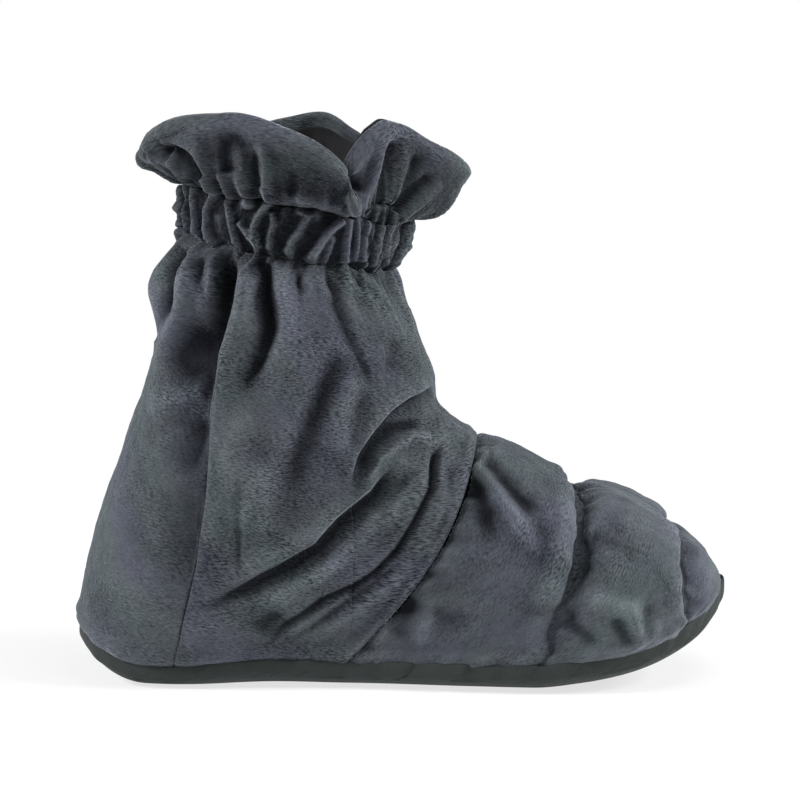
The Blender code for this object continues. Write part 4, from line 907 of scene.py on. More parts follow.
class Recipe:
    """Node material under construction, with short calls for the nodes it needs."""

    def __init__(self, name):
        self.made = bpy.data.materials.new(name)
        self.made.use_nodes = True
        self.tree = self.made.node_tree
        self.shader = self.tree.nodes["Principled BSDF"]
        cloth = self.tree.nodes.new("ShaderNodeUVMap")
        cloth.uv_map = "cloth"
        self.cloth = cloth.outputs["UV"]

    def feed(self, socket, value):
        feed(self.tree, socket, value)

    def math(self, operation, *values, clamp=False):
        made = add_node(self.tree, "ShaderNodeMath", *values, operation=operation)
        made[0].node.use_clamp = clamp
        return made[0]

    def vector(self, operation, a, b):
        return add_node(self.tree, "ShaderNodeVectorMath", a, b, operation=operation)[0]

    def noise(self, vector, scale, detail=2.0, roughness=0.5, colour=False):
        node = self.tree.nodes.new("ShaderNodeTexNoise")
        self.feed(node.inputs["Vector"], vector)
        node.inputs["Scale"].default_value = scale
        node.inputs["Detail"].default_value = detail
        node.inputs["Roughness"].default_value = roughness
        return node.outputs["Color" if colour else "Fac"]

    def cells(self, vector, scale):
        node = self.tree.nodes.new("ShaderNodeTexVoronoi")
        self.feed(node.inputs["Vector"], vector)
        node.inputs["Scale"].default_value = scale
        return node.outputs["Distance"]

    def stray(self, place, detail, reach):
        """A place led off by noise, by up to half a reach either way."""
        swirl = self.vector("SUBTRACT", self.noise(place, 90.0, detail, colour=True), (0.5, 0.5, 0.5))
        return self.vector("ADD", place, self.vector("MULTIPLY", swirl, reach))

    def weighted(self, *parts):
        """Sum of values, each times its weight."""
        total, *others = [self.math("MULTIPLY", value, weight) for value, weight in parts]
        for part in others:
            total = self.math("ADD", total, part)
        return total

    def ramp(self, value, stops):
        node = self.tree.nodes.new("ShaderNodeValToRGB")
        self.feed(node.inputs["Fac"], value)
        bar = node.color_ramp
        while len(bar.elements) < len(stops):
            bar.elements.new(0.5)
        for element, (place, colour) in zip(bar.elements, stops):
            element.position = place
            element.color = (*colour, 1.0)
        return node.outputs["Color"]

    def product(self, a, b):
        node = self.tree.nodes.new("ShaderNodeMix")
        node.data_type, node.blend_type = "RGBA", "MULTIPLY"
        node.inputs["Factor"].default_value = 1.0
        for socket, colour in zip((s for s in node.inputs if s.type == "RGBA"), (a, b)):
            self.feed(socket, colour)
        return next(s for s in node.outputs if s.type == "RGBA")

    def bump(self, height, distance, strength):
        node = self.tree.nodes.new("ShaderNodeBump")
        node.inputs["Distance"].default_value = distance
        node.inputs["Strength"].default_value = strength
        self.feed(node.inputs["Height"], height)
        self.feed(self.shader.inputs["Normal"], node.outputs["Normal"])

    def finish(self, colour, roughness, sheen=0.0, sheen_roughness=0.5, tint=(1, 1, 1), specular=0.3):
        self.feed(self.shader.inputs["Base Color"], colour)
        self.feed(self.shader.inputs["Roughness"], roughness)
        self.shader.inputs["Sheen Weight"].default_value = sheen
        self.shader.inputs["Sheen Roughness"].default_value = sheen_roughness
        self.shader.inputs["Sheen Tint"].default_value = (*tint, 1.0)
        self.shader.inputs["Specular IOR Level"].default_value = specular
        return self.made


def plush_material(name, painted_light_level, seed, contrast=1.0, pile=(520.0, 1450.0)):
    """Short pile in dark blue-grey: fine dashes across the cloth, clumps and soft patches of shade; its
    brightness is a painted light level for each piece, and painted shade darkens its hollows while a painted
    highlight lightens its ridges.
    """
    made = Recipe(name)
    place = made.vector("ADD", made.cloth, (0.37 * seed, 0.91 * seed, 0.0))
    bent = made.stray(place, 1.0, (0.002, 0.0022, 0.0))
    dash = made.noise(made.vector("MULTIPLY", bent, (*pile, 0.0)), 1.0, 1.0, 0.5)
    fine = made.noise(made.vector("MULTIPLY", bent, (1100.0, 1900.0, 0.0)), 1.0, 1.0, 0.5)
    tuft = made.noise(made.vector("MULTIPLY", bent, (150.0, 260.0, 0.0)), 1.0, 2.0, 0.55)
    patch = made.noise(place, 26.0, 3.0, 0.6)
    hue = made.noise(place, 19.0, 2.0)
    rough = made.math("MULTIPLY_ADD", made.noise(place, 33.0, 2.0), 3.2, -1.15, clamp=True)
    open_pile = made.math("MULTIPLY_ADD", rough, 0.65, 0.35)
    streak = made.math("MULTIPLY_ADD", made.math("SUBTRACT", dash, 0.5), open_pile, 0.5)
    mixed = made.math("MULTIPLY_ADD", streak, 0.95 * contrast, 0.5 - 0.475 * contrast)
    for part, weight in ((fine, 0.30 * contrast), (tuft, 0.14), (patch, 0.34)):
        mixed = made.math("ADD", mixed, made.math("MULTIPLY_ADD", part, weight, -weight / 2))
    # The pile's colours, lighter or darker by a level that stands in for how the piece is lit: painted light
    # and shade
    shade = made.ramp(mixed, [(stop, tuple(painted_light_level * c for c in colour)) for stop, colour in PLUSH_SHADES])
    colour = made.product(shade, made.ramp(hue, PLUSH_CASTS))
    # Painted shade in hollows and painted highlight on ridges, from the mesh's point attribute
    depth = made.tree.nodes.new("ShaderNodeAttribute")
    depth.attribute_name = "painted_shade_and_highlight"
    sunk = made.math("MULTIPLY_ADD", depth.outputs["Fac"], 0.5, 0.5, clamp=True)
    colour = made.product(colour, made.ramp(sunk, PAINTED_SHADE_AND_HIGHLIGHT))
    made.bump(made.weighted((streak, 0.70), (fine, 0.25), (tuft, 0.40)), 0.0013, 0.9 * contrast**0.5)
    return made.finish(colour, 0.95, sheen=0.45, sheen_roughness=0.30, tint=(0.80, 0.87, 0.96), specular=0.08)


def woven_material(name, dark, light, pitch, roughness, sheen, ribs=False):
    """Plain woven cloth: crossing threads of a pitch in metres, with soft patches of shade."""
    made = Recipe(name)
    wave = 2 * math.pi / pitch
    bent = add_node(made.tree, "ShaderNodeSeparateXYZ", made.stray(made.cloth, 2.0, (pitch, pitch, 0.0)))
    across = made.math("SINE", made.math("MULTIPLY", bent["X"], wave * (0.5 if ribs else 1.0)))
    down = made.math("SINE", made.math("MULTIPLY", bent["Y"], wave))
    thread = down if ribs else made.math("MULTIPLY", across, down)
    thread = made.math("MULTIPLY_ADD", thread, 0.5, 0.5)
    fuzz = made.noise(made.cloth, 0.5 / pitch, 3.0)
    patch = made.noise(made.cloth, 30.0, 3.0)
    value = made.weighted((thread, 0.42), (fuzz, 0.30), (patch, 0.28))
    middle = tuple((a + b) / 2 for a, b in zip(dark, light))
    colour = made.ramp(value, ((0.22, dark), (0.50, middle), (0.78, light)))
    made.bump(value, 0.0006, 0.6)
    return made.finish(colour, roughness, sheen=sheen, tint=(0.85, 0.88, 0.92), specular=0.25)


def grain_material(name):
    """Cotton pouch with the grains inside showing through as small bumps."""
    made = Recipe(name)
    grains = made.cells(made.cloth, 260.0)
    weave = made.noise(made.cloth, 1600.0, 2.0)
    stain = made.noise(made.cloth, 40.0, 3.0)
    colour = made.ramp(made.weighted((weave, 0.5), (stain, 0.5)), GRAIN_SHADES)
    made.bump(made.weighted((grains, -0.8), (weave, 0.1)), 0.0015, 0.7)
    return made.finish(colour, 0.88, sheen=0.1, specular=0.2)


# Painted light and shade: one plush in a copy for each piece, made lighter or darker by its first number to
# stand in for how brightly that piece is lit
PLUSH_SHAFT = plush_material("plush_shaft", 0.81, 1)
PLUSH_HEEL = plush_material("plush_heel", 0.90, 2, 0.70)
PLUSH_VAMP = plush_material("plush_vamp", 0.94, 3, 0.60)
PLUSH_CASING = plush_material("plush_casing", 0.72, 4, 0.80, (800.0, 800.0))
PLUSH_RUFFLE = plush_material("plush_ruffle", 0.54, 5, 0.85, (430.0, 1150.0))
# Name, darkest and lightest colour, pitch of the threads, roughness and sheen
BLACK_CLOTH, TAPE_CLOTH, SOLE_CLOTH = (woven_material(*row) for row in (
    ("black_lining_cloth", (0.003, 0.003, 0.004), (0.012, 0.012, 0.014), 0.0007, 0.75, 0.0),
    ("tape_weave", (0.012, 0.017, 0.016), (0.036, 0.044, 0.042), 0.0008, 0.62, 0.06),
    ("outsole_weave", (0.026, 0.030, 0.031), (0.070, 0.077, 0.078), 0.0014, 0.80, 0.06),
))
ELASTIC_CLOTH = woven_material(
    "elastic_ribs", (0.55, 0.54, 0.52), (0.82, 0.81, 0.79), 0.0012, 0.70, 0.05, ribs=True,
)
GRAIN_CLOTH = grain_material("grain_cotton")
DARK_THREAD = woven_material("dark_thread", (0.030, 0.034, 0.038), (0.075, 0.084, 0.090), 0.0004, 0.6, 0.1)
PALE_THREAD = woven_material("pale_thread", (0.14, 0.15, 0.16), (0.34, 0.35, 0.36), 0.0004, 0.6, 0.1)


# Shapes


def spread(start, end, count, crowding=0.6):
    """Values from start towards end that crowd together near both ends."""
    s = np.linspace(0, 1, count, endpoint=False)
    return start + (end - start) * (s - crowding * np.sin(2 * math.pi * s) / (2 * math.pi))


def edge_dip(distance, radius=SEAM_ROLL):
    """How far a sewn edge rolls down at a distance from its seam."""
    near = np.clip(1 - distance / radius, 0, 1)
    return radius * (1 - np.sqrt(1 - near**2))


def collar_pinch(distance):
    """How far a gathered seam draws the plush in at a distance from it."""
    return COLLAR_DIP * edge_dip(distance, COLLAR_ROLL) / COLLAR_ROLL


def overhang(up, depth):
    """How far the plush swells out over the tape, at distances up from its sewn edge."""
    return depth * bell(up - OVERHANG_HEIGHT, OVERHANG_SPAN)


def shaft_surface():
    """Angles, shares, base, folded face and depth of the shaft's plush, round from the near front seam."""
    seams = (
        FRONT_SEAM_ANGLE, HEEL_SEAM_ANGLE, FULL_TURN - HEEL_SEAM_ANGLE, FULL_TURN - FRONT_SEAM_ANGLE,
        FULL_TURN + FRONT_SEAM_ANGLE,
    )
    angles = np.concatenate([spread(*stop) for stop in zip(seams, seams[1:], PANEL_COLUMNS)])
    turned = np.mod(angles, FULL_TURN)
    shares = np.linspace(0, 1, SHAFT_ROWS + 1)
    base = moved_seams(angles, shares, np.stack([ankle_column(a, shares) for a in turned], axis=1))
    deep = drawn_folds(base, NEAR_FOLDS, -1) + drawn_folds(base, FAR_FOLDS, 1) + gather_depths(angles, shares)
    envelope = fold_envelope(shares)[:, None]
    up = arc_lengths(base, 0)
    under = up[-1:] - up
    merge = bell(under, COLLAR_MERGE, 1.6)
    collar = casing_inward(cuff_ring(0, angles)[None], turned, (0.0,))
    deep = deep + 1.2 * (collar - COLLAR_PULL) * bell(under, COLLAR_PULL_REACH, 1.5)
    level = bell(under, COLLAR_LEVEL)[..., None]
    outward = unit(grid_normals(base, True) * (1 - level) + cuff_outward(angles)[None] * level)
    deep = np.minimum(deep, FOLD_LIMIT) * envelope * (1 - merge) + collar * merge
    relief = pile_relief(angles[None] / FULL_TURN * SHAFT_GIRTH, up - up[-1:], 20, SHAFT_GIRTH)
    relief = relief * np.minimum(1, 4 * envelope)
    hem = 1 + 0.7 * noise_round(angles[None], 46, 0.5, 31)
    folded = base - outward * (deep - relief - overhang(up, 0.0012 * hem) + collar_pinch(under))[..., None]
    folded[..., 2] += seam_wave(turned, 1) * np.exp(-under / COLLAR_WAVE_REACH)
    return angles, shares, base, folded, deep


def moved_seams(angles, shares, base):
    """The base with the columns near each side seam led forward on their way down."""
    wrapped = np.concatenate([angles - FULL_TURN, angles, angles + FULL_TURN])
    whole = np.concatenate([base, base, base], axis=1)
    stops = (
        FRONT_SEAM_ANGLE, HEEL_SEAM_ANGLE, BACK_ANGLE, FULL_TURN - HEEL_SEAM_ANGLE,
        FULL_TURN - FRONT_SEAM_ANGLE,
    )
    weight = np.interp(np.mod(angles, FULL_TURN), stops, (0, -1, 0, 1, 0))
    shifts = np.interp(shares, *np.array(SEAM_COURSE).T)
    return np.stack([between(angles + shift * weight, wrapped, row) for shift, row in zip(shifts, whole)])


def build_shaft():
    """Four plush panels with rolled seams between them, and the lining tube inside."""
    angles, shares, base, folded, deep = shaft_surface()
    normals = unit(grid_normals(folded, True) + grid_normals(base, True))
    # Painted shade in hollows and deep folds, and painted highlight on ridges, for the plush's colour
    painted_shade_and_highlight = 0.55 * hollows(folded, grid_normals(folded, True), True) + 0.58 * np.clip(deep / 0.0085, -0.7, 1)
    cloth = cloth_map(base, closed=True, last_row_first=True)
    counts = np.cumsum([0, *PANEL_COLUMNS])
    names = ("right_side_panel", "heel_panel", "left_side_panel", "front_panel")
    paints = (PLUSH_SHAFT, PLUSH_HEEL, PLUSH_SHAFT, PLUSH_SHAFT)
    for name, first, last, paint in zip(names, counts, counts[1:], paints):
        columns = np.arange(first, last + 1) % len(angles)
        panel, out = folded[:, columns], normals[:, columns]
        across, up = arc_lengths(panel, 1), arc_lengths(panel, 0)
        heel = edge_dip(across if name == "left_side_panel" else across[:, -1:] - across)
        if name == "heel_panel":
            heel = np.maximum(heel, edge_dip(across))
        dip = heel * np.interp(shares, (0.48, 0.60), (1, 0.1))[:, None]
        if name == "front_panel":
            dip = edge_dip(up, FLAT_SEAM_ROLL)
        face = panel - out * dip[..., None]
        back = panel - out * (PLUSH + 0.0002)
        for side in (face, back):
            side[:, 0] += unit(panel[:, 1] - panel[:, 0]) * (SEAM_GAP / 8)
            side[:, -1] += unit(panel[:, -2] - panel[:, -1]) * (SEAM_GAP / 8)
            side[0] += unit(panel[1] - panel[0]) * (SEAM_GAP / 4)
            side[-1] += unit(panel[-2] - panel[-1]) * (SEAM_GAP / 2)
        cut = cloth[:, first:last + 1]
        piece = shell(name + "_plush", face, back, cut, paint, shade=painted_shade_and_highlight[:, columns])
        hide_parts(name)
        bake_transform(piece)
    build_shaft_lining()


def build_shaft_lining():
    """Dark lining tube from the tape and the vamp's seam up through the elastic."""
    angles = np.linspace(0, FULL_TURN, SHAFT_LINING_COLUMNS, endpoint=False)
    shares = np.linspace(0, 1, SHAFT_LINING_ROWS)
    base = np.stack([ankle_column(a, shares) for a in angles], axis=1)
    inward = PLUSH + LAYER_GAP + (FOLD_LIMIT + LINING_SLACK) * fold_envelope(shares)
    ending = LINING_INSET + (inward - LINING_INSET) * (1 - shares) / LINING_END_SHARE
    inward = np.where(shares > 1 - LINING_END_SHARE, ending, inward)
    down = arc_lengths(base, 0)
    wrinkle = 0.0011 * noise_round(angles[None], 14, down / 0.03, 71)
    wrinkle = wrinkle + 0.0005 * noise_round(angles[None], 40, down / 0.012, 72)
    wrinkle = wrinkle * (fold_envelope(shares) * (1 - shares**8))[:, None]
    tube_face = base - grid_normals(base, True) * (inward[:, None] + LINING_CLEARANCE + wrinkle)[..., None]
    tube_face[0] += unit(tube_face[1] - tube_face[0]) * SEAM_GAP
    heights = np.linspace(0, CASING_HEIGHT, CUFF_LINING_ROWS + 1)[1:]
    top = np.stack([cuff_ring(h, angles) - cuff_outward(angles) * LINING_INSET for h in heights])
    face = np.concatenate([tube_face, top])
    back = face - grid_normals(face, True) * LINING
    piece = shell("shaft_lining_cloth", face, back, cloth_map(face, closed=True), BLACK_CLOTH, closed=True)
    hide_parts("shaft_lining")
    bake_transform(piece)


def channel_places(counts, crowding=0.6):
    """Places of the vamp's rows, crowded near the quilting lines."""
    rows = [spread(a, b, n, crowding) for a, b, n in zip(QUILT_SHARES, QUILT_SHARES[1:], counts)]
    return np.concatenate(rows + [[QUILT_SHARES[-1]]])


def quilt_rows(counts):
    """Rows of the vamp's grid at its seam to the shaft and at its quilting lines."""
    return 0, counts[0], counts[0] + counts[1]


def quilt_pull(down, lines, across, angles):
    """Depth of the quilting grooves, of the swell before them and of the puckers that run into them."""
    deep = np.zeros(down.shape)
    low = 0.35 + 0.65 * np.sin(2 * np.clip(angles, 0, math.pi))[None] ** 2
    for k, (row, (groove, swell, dip)) in enumerate(zip(lines, QUILT_PULLS)):
        off = down - down[row][None]
        wave = noise(across / 0.0115, off / 0.03, 40 + k) + 0.6 * noise(across / 0.0060, off / 0.02, 50 + k)
        sway = 1 + 0.5 * noise(across / 0.03, 0.5, 45 + k)
        deep = deep + groove * bell(off, 0.0021) - swell * bell(off + 0.0068, 0.0050) * sway * low
        deep = deep + 0.0024 * np.clip(wave, -0.8, 1) * bell(off, 0.010) + dip * bell(off - 0.004, 0.005)
    return deep


def wavering(places, angles, base):
    """The vamp's base with its second and third quilting lines led off their even course."""
    degrees = np.degrees(np.minimum(angles, math.pi - angles))
    moved = base.copy()
    for j in range(len(angles)):
        at = places.copy()
        for line, table, low, high in QUILT_WAVER:
            shift = np.interp(degrees[j], *np.array(table).T)
            at = at + shift * np.interp(places, (low, line, high), (0, 1, 0))
        moved[:, j] = between(at, places, base[:, j])
    return moved


def vamp_surface(counts, angles, crowding=0.6):
    """Places, base, height of puff, puffed face, depth of creases and free share of the vamp."""
    places = channel_places(counts, crowding)
    base = wavering(places, angles, vamp_base(places, angles))
    puff = puff_at(places, angles)
    puffed = base + vamp_normals(base) * puff[..., None]
    across, down = cloth_map(puffed)[..., 0], arc_lengths(puffed, 0)
    toe = np.clip((1 - places) / 0.08, 0, 1)[:, None]
    deep = quilt_pull(down, quilt_rows(counts), across, angles)
    for side in (-1, 1):
        rows = [row[:5] + row[6:] for row in VAMP_FOLDS if row[5] in (side, 0)]
        deep = deep + drawn_folds(puffed, rows, side)
    foot = np.clip(np.sin(angles)[None], 0, 1) ** 0.25
    slack = 0.0016 + 0.0014 * np.clip(1 - places / 0.2, 0, 1)[:, None]
    deep = np.clip(deep * toe * foot, -0.0050, slack + 0.7 * puff)
    return places, base, puff, puffed, deep, toe * foot


def build_vamp():
    """Quilted vamp with its stitches, its lining and the grain in its three channels."""
    angles = np.linspace(0, math.pi, VAMP_COLUMNS + 1)
    places, _, _, puffed, deep, free = vamp_surface(VAMP_ROWS, angles)
    across, down = cloth_map(puffed)[..., 0], arc_lengths(puffed, 0)
    relief = pile_relief(across, down, 60) * free
    out = vamp_normals(puffed)
    up = np.minimum(np.abs(across - across[:, :1]), np.abs(across - across[:, -1:]))
    hem = 1 + 0.8 * noise(down / 0.0085, 0.5, 33)
    swell = overhang(up, 0.0013 * hem) * np.clip((0.94 - places) / 0.10, 0, 1)[:, None]
    sunk = puffed - out * (deep - relief - swell)[..., None]
    rolled = sunk - out * edge_dip(down, FLAT_SEAM_ROLL)[..., None]
    rolled[:, (0, -1), 2] -= 0.0004
    ahead = unit(puffed[1] - puffed[0]) * (SEAM_GAP / 4)
    rolled[0] += ahead
    back = sunk - out * (PLUSH + 0.0004)
    back[0] += ahead
    # Painted shade in creases and hollows and painted highlight on ridges, with painted shade at the instep
    # and painted highlight towards the toe
    dark = 0.55 * hollows(sunk, out, False, 0.0009) + 0.5 * np.clip(deep / 0.0036, -0.9, 1)
    shade = np.clip(dark + smooth_value(VAMP_PAINTED_SHADE_AND_HIGHLIGHT, places)[:, None], -1, 1)
    piece = shell("quilted_vamp_plush", rolled, back, cloth_map(puffed), PLUSH_VAMP, shade=shade)
    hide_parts("quilted_vamp")
    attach(piece, "foot")
    threads = ((PALE_THREAD, 0.0009), (DARK_THREAD, 0.0022), (DARK_THREAD, 0.0022))
    for k, (row, (thread, length)) in enumerate(zip(quilt_rows(VAMP_ROWS), threads)):
        sew_line("quilt_stitches_%d" % (k + 1), rolled[row], out[row], thread, length)
    build_vamp_lining()


def build_vamp_lining():
    """Thin lining under the vamp, and the pouches of grain between lining and plush."""
    angles = np.linspace(0, math.pi, VAMP_LINING_COLUMNS + 1)
    _, base, puff, puffed, deep, _ = vamp_surface(VAMP_LINING_ROWS, angles, 0.0)
    flat = vamp_normals(base)
    down, across = arc_lengths(base, 0), cloth_map(base)[..., 0]
    wrinkle = 0.0004 * noise(across / 0.018, down / 0.018, 81) + 0.0004 + np.clip(deep - puff, 0, 1)
    face = base - flat * (PLUSH + LAYER_GAP + wrinkle)[..., None]
    face[0] += unit(face[1] - face[0]) * (SEAM_GAP / 2)
    face = face[:-4]
    back = face - flat[:-4] * LINING
    piece = shell("vamp_lining_cloth", face, back, cloth_map(face), BLACK_CLOTH)
    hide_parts("vamp_lining")
    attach(piece, "foot")
    sunk = np.clip(deep, 0, 1) + np.clip(puff - np.clip(deep, 0, 1), 0, 1) * 0.08
    top = puffed - vamp_normals(puffed) * (PLUSH + LAYER_GAP + 0.0006 + sunk)[..., None]
    bottom = base - flat * (PLUSH + np.clip(deep - puff, 0, 1))[..., None]
    stops = np.cumsum([0, *VAMP_LINING_ROWS])
    for name, first, last in zip(("instep_pack", "toe_pack", "toe_tip_pack"), stops, stops[1:]):
        pouch(name, top[first + 4: last - 3, 5:-5], bottom[first + 4: last - 3, 5:-5])


def pouch(name, top, bottom):
    """Cotton pouch between two grids: lumpy with grain and drawn together at its sewn edge."""
    rows, columns = top.shape[:2]
    inward = np.minimum.outer(*(
        np.minimum(np.arange(count), np.arange(count)[::-1]) / (count / 2.0) for count in (rows, columns)
    ))
    full = np.sqrt(np.clip(inward * 3.5, 0, 1))[..., None]
    centre, half = (top + bottom) / 2, (top - bottom) / 2
    down, across = arc_lengths(centre, 0), cloth_map(centre)[..., 0]
    lumps = 0.0004 * noise(across / 0.006, down / 0.006, 90)[..., None] * full
    away = unit(half)
    upper = centre + half * (0.12 + 0.80 * full) + away * (lumps - 0.0003)
    lower = centre - half * (0.12 + 0.80 * full)
    piece = shell(name + "_pouch", upper, lower, cloth_map(centre), GRAIN_CLOTH)
    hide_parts(name)
    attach(piece, "foot")


def sew_line(name, line, out, thread, length):
    """Row of stitches along a line of points: short thread loops that dip into the cloth at both ends."""
    total = way_along(line)[-1]
    pitch = length + STITCH_GAP
    count = int(total / pitch)
    starts = (np.arange(count) + 0.25) * pitch / total
    steps = np.linspace(0, 1, 6)
    shares = (starts[:, None] + steps[None] * length / total).ravel()
    middle = at_shares(line, shares).reshape(count, len(steps), 3)
    up = unit(at_shares(line, shares, out).reshape(count, len(steps), 3))
    arched = STITCH_LIFT + STITCH_RADIUS * 1.6 * (np.sin(math.pi * steps) - 0.5)
    middle = middle + up * arched[None, :, None]
    along = unit(np.gradient(middle, axis=1))
    side = unit(np.cross(along, up))
    around = np.linspace(0, 2 * math.pi, 6, endpoint=False)[:, None]
    thick = STITCH_RADIUS * np.sqrt(np.clip(1 - (2 * steps - 1) ** 2, 0.12, 1))
    rings = up[:, :, None] * np.sin(around) + side[:, :, None] * np.cos(around)
    points = (middle[:, :, None] + thick[None, :, None, None] * rings).reshape(-1, 3)
    wide, deep = len(around), len(steps)
    corners = np.roll(corner_grid(deep, wide, True)[:, ::-1], 1, axis=1)
    quads = corners[..., 0] * wide + corners[..., 1] % wide
    firsts = np.arange(count) * wide * deep
    faces = (quads[None] + firsts[:, None, None]).reshape(-1, 4).tolist()
    faces += (firsts[:, None] + np.arange(wide)[::-1]).tolist()
    faces += (firsts[:, None] + (deep - 1) * wide + np.arange(wide)).tolist()
    mesh = bpy.data.meshes.new(name)
    mesh.from_pydata((points - ORIGIN).tolist(), [], faces)
    layer = mesh.uv_layers.new(name="cloth")
    spots = points[[v for face in faces for v in face]]
    layer.data.foreach_set("uv", np.ascontiguousarray(spots[:, (0, 2)], np.float32).ravel())
    mesh.shade_smooth()
    mesh.materials.append(thread)
    piece = new_object(name, mesh)
    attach(piece, "foot")


def gathers_round(angles, share):
    """Depth of even, machine-made gathers of the casing at a share of its height."""
    count = len(CASING_RIDGES)
    draw = np.random.default_rng(7)
    valleys, tops = draw.uniform(0.80, 1.05, count), draw.uniform(-0.0012, 0.0010, count)
    numbers = np.arange(count) * 0.73
    sway = 2.2 * noise(numbers, share * 3.1, 201) + 0.9 * noise(numbers + 50, share * 6.3, 202)
    tops = tops + 0.0022 * noise(numbers + 90, share * 3.7, 203)
    ridges = np.sort(np.array([np.interp(share, (0, 0.5, 1), row) for row in CASING_RIDGES]) + sway)
    wrapped = np.concatenate([[ridges[-1] - FULL_TURN], ridges, [ridges[0] + FULL_TURN]])
    phase = np.interp(angles, wrapped, np.arange(-1, count + 1))
    ridge = (0.5 + 0.5 * np.cos(2 * math.pi * phase)) ** 2.4
    whole = np.concatenate([tops[-1:], tops, tops[:1]])
    height = np.interp(phase, np.arange(-1, count + 1), whole)
    return CASING_DEPTH * (1 - ridge) * valleys[np.floor(phase).astype(int) % count] + height


def seam_wave(angles, seed):
    """How far a gathered seam strays up and down at angles in degrees, in metres."""
    long, short = noise_round(angles, 21, 0.5, 220 + seed), noise_round(angles, 52, 0.5, 230 + seed)
    return 0.0020 * long + 0.0016 * short


def casing_inward(rings, angles, shares):
    """How far in the casing is pulled at points of its rings: drawn rolls near, even gathers beyond."""
    even = np.stack([gathers_round(angles, t) for t in shares])
    near = eased(np.clip(-rings[..., 1] / (ANKLE_HALF_WIDTH * 0.55), 0, 1))
    place = np.array(shares)[:, None]
    swell = CASING_SWELL * np.sin(math.pi * place) ** 0.7
    seams = bell(place, 0.30) + 0.7 * bell(1 - place, 0.25)
    deep = even * (1 - near) + (CASING_FLOOR + 0.42 * seams * (even - 0.6 * CASING_DEPTH)) * near
    deep = deep + drawn_folds(rings, CASING_DRAWN, -1)
    back = np.clip(-np.cos(np.radians(angles)), 0, 1)[None] ** 3
    return np.minimum(deep - swell * (1 - 0.5 * near) * (1 - back) + 0.0012 * back, CASING_LIMIT)


def build_casing():
    """Gathered plush casing, with the elastic inside."""
    angles = np.linspace(0, FULL_TURN, CASING_COLUMNS, endpoint=False)
    shares = np.linspace(0, 1, CASING_ROWS + 1)
    heights = SEAM_GAP / 2 + (CASING_HEIGHT - SEAM_GAP) * shares
    rings = np.stack([cuff_ring(h, angles) for h in heights])
    rise = shares[:, None]
    rings[..., 2] += seam_wave(angles, 1) * (1 - rise) ** 2 + seam_wave(angles, 2) * rise**2
    level = cuff_outward(angles)[None]
    pull = casing_inward(rings, angles, shares)
    relief = pile_relief(angles[None] / FULL_TURN * CASING_GIRTH, heights[:, None], 110, CASING_GIRTH)
    relief = relief + 0.0005 * noise_round(angles[None], 52, heights[:, None] / 0.0055, 118)
    relief = relief + 0.0003 * noise_round(angles[None], 200, heights[:, None] / 0.0017, 119)
    close = np.minimum(shares, shares[::-1])[:, None] * CASING_HEIGHT
    inward = pull - relief * np.clip(close / 0.002, 0, 1) + collar_pinch(close)
    inward = np.minimum(inward, CASING_LIMIT + COLLAR_DIP)
    face = rings - level * inward[..., None]
    back = rings - level * (CASING_PLEAT + PLUSH - 0.0002)
    # Painted shade in hollows and the deeper gathers, and painted highlight on the rolls
    dark = 0.55 * hollows(face, level, True, 0.0006) + 0.65 * np.clip((pull - 0.0007) / 0.0026, -1, 1)
    cloth, shade = cloth_map(rings, closed=True), np.clip(dark, -1, 1)
    piece = shell("elastic_casing_plush", face, back, cloth, PLUSH_CASING, closed=True, shade=shade)
    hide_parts("elastic_casing")
    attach(piece, "cuff")
    build_elastic()


def build_elastic():
    """Ribbed elastic web inside the casing, slightly wavy from its gathers."""
    around = np.linspace(0, FULL_TURN, ELASTIC_COLUMNS, endpoint=False)
    low = (CASING_HEIGHT - ELASTIC_HEIGHT) / 2
    heights = np.linspace(low, low + ELASTIC_HEIGHT, ELASTIC_ROWS)
    inset = CASING_PLEAT + PLUSH + LAYER_GAP + 0.0001 - 0.0001 * np.sin(np.radians(around) * 27)
    strap = np.stack([cuff_ring(h, around) - cuff_outward(around) * inset[:, None] for h in heights])
    back = strap - cuff_outward(around)[None] * (ELASTIC - 0.0002)
    piece = shell("ankle_elastic_web", strap, back, cloth_map(strap, closed=True), ELASTIC_CLOTH, closed=True)
    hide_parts("ankle_elastic")
    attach(piece, "cuff")


def ruffle_folds(angles, shares):
    """Depth share of the ruffle's folds at angles round it and shares of the way up to its rim."""
    deep = np.zeros((len(shares), len(angles)))
    t = shares[:, None]
    for angle, width, foot, rim in RUFFLE_FOLD_SHARES:
        off = signed_turn(angles - angle)
        deep += (foot * 4 * t * (1 - t) + rim * t**2) * fold_profile(off, width, width)[None]
    return deep


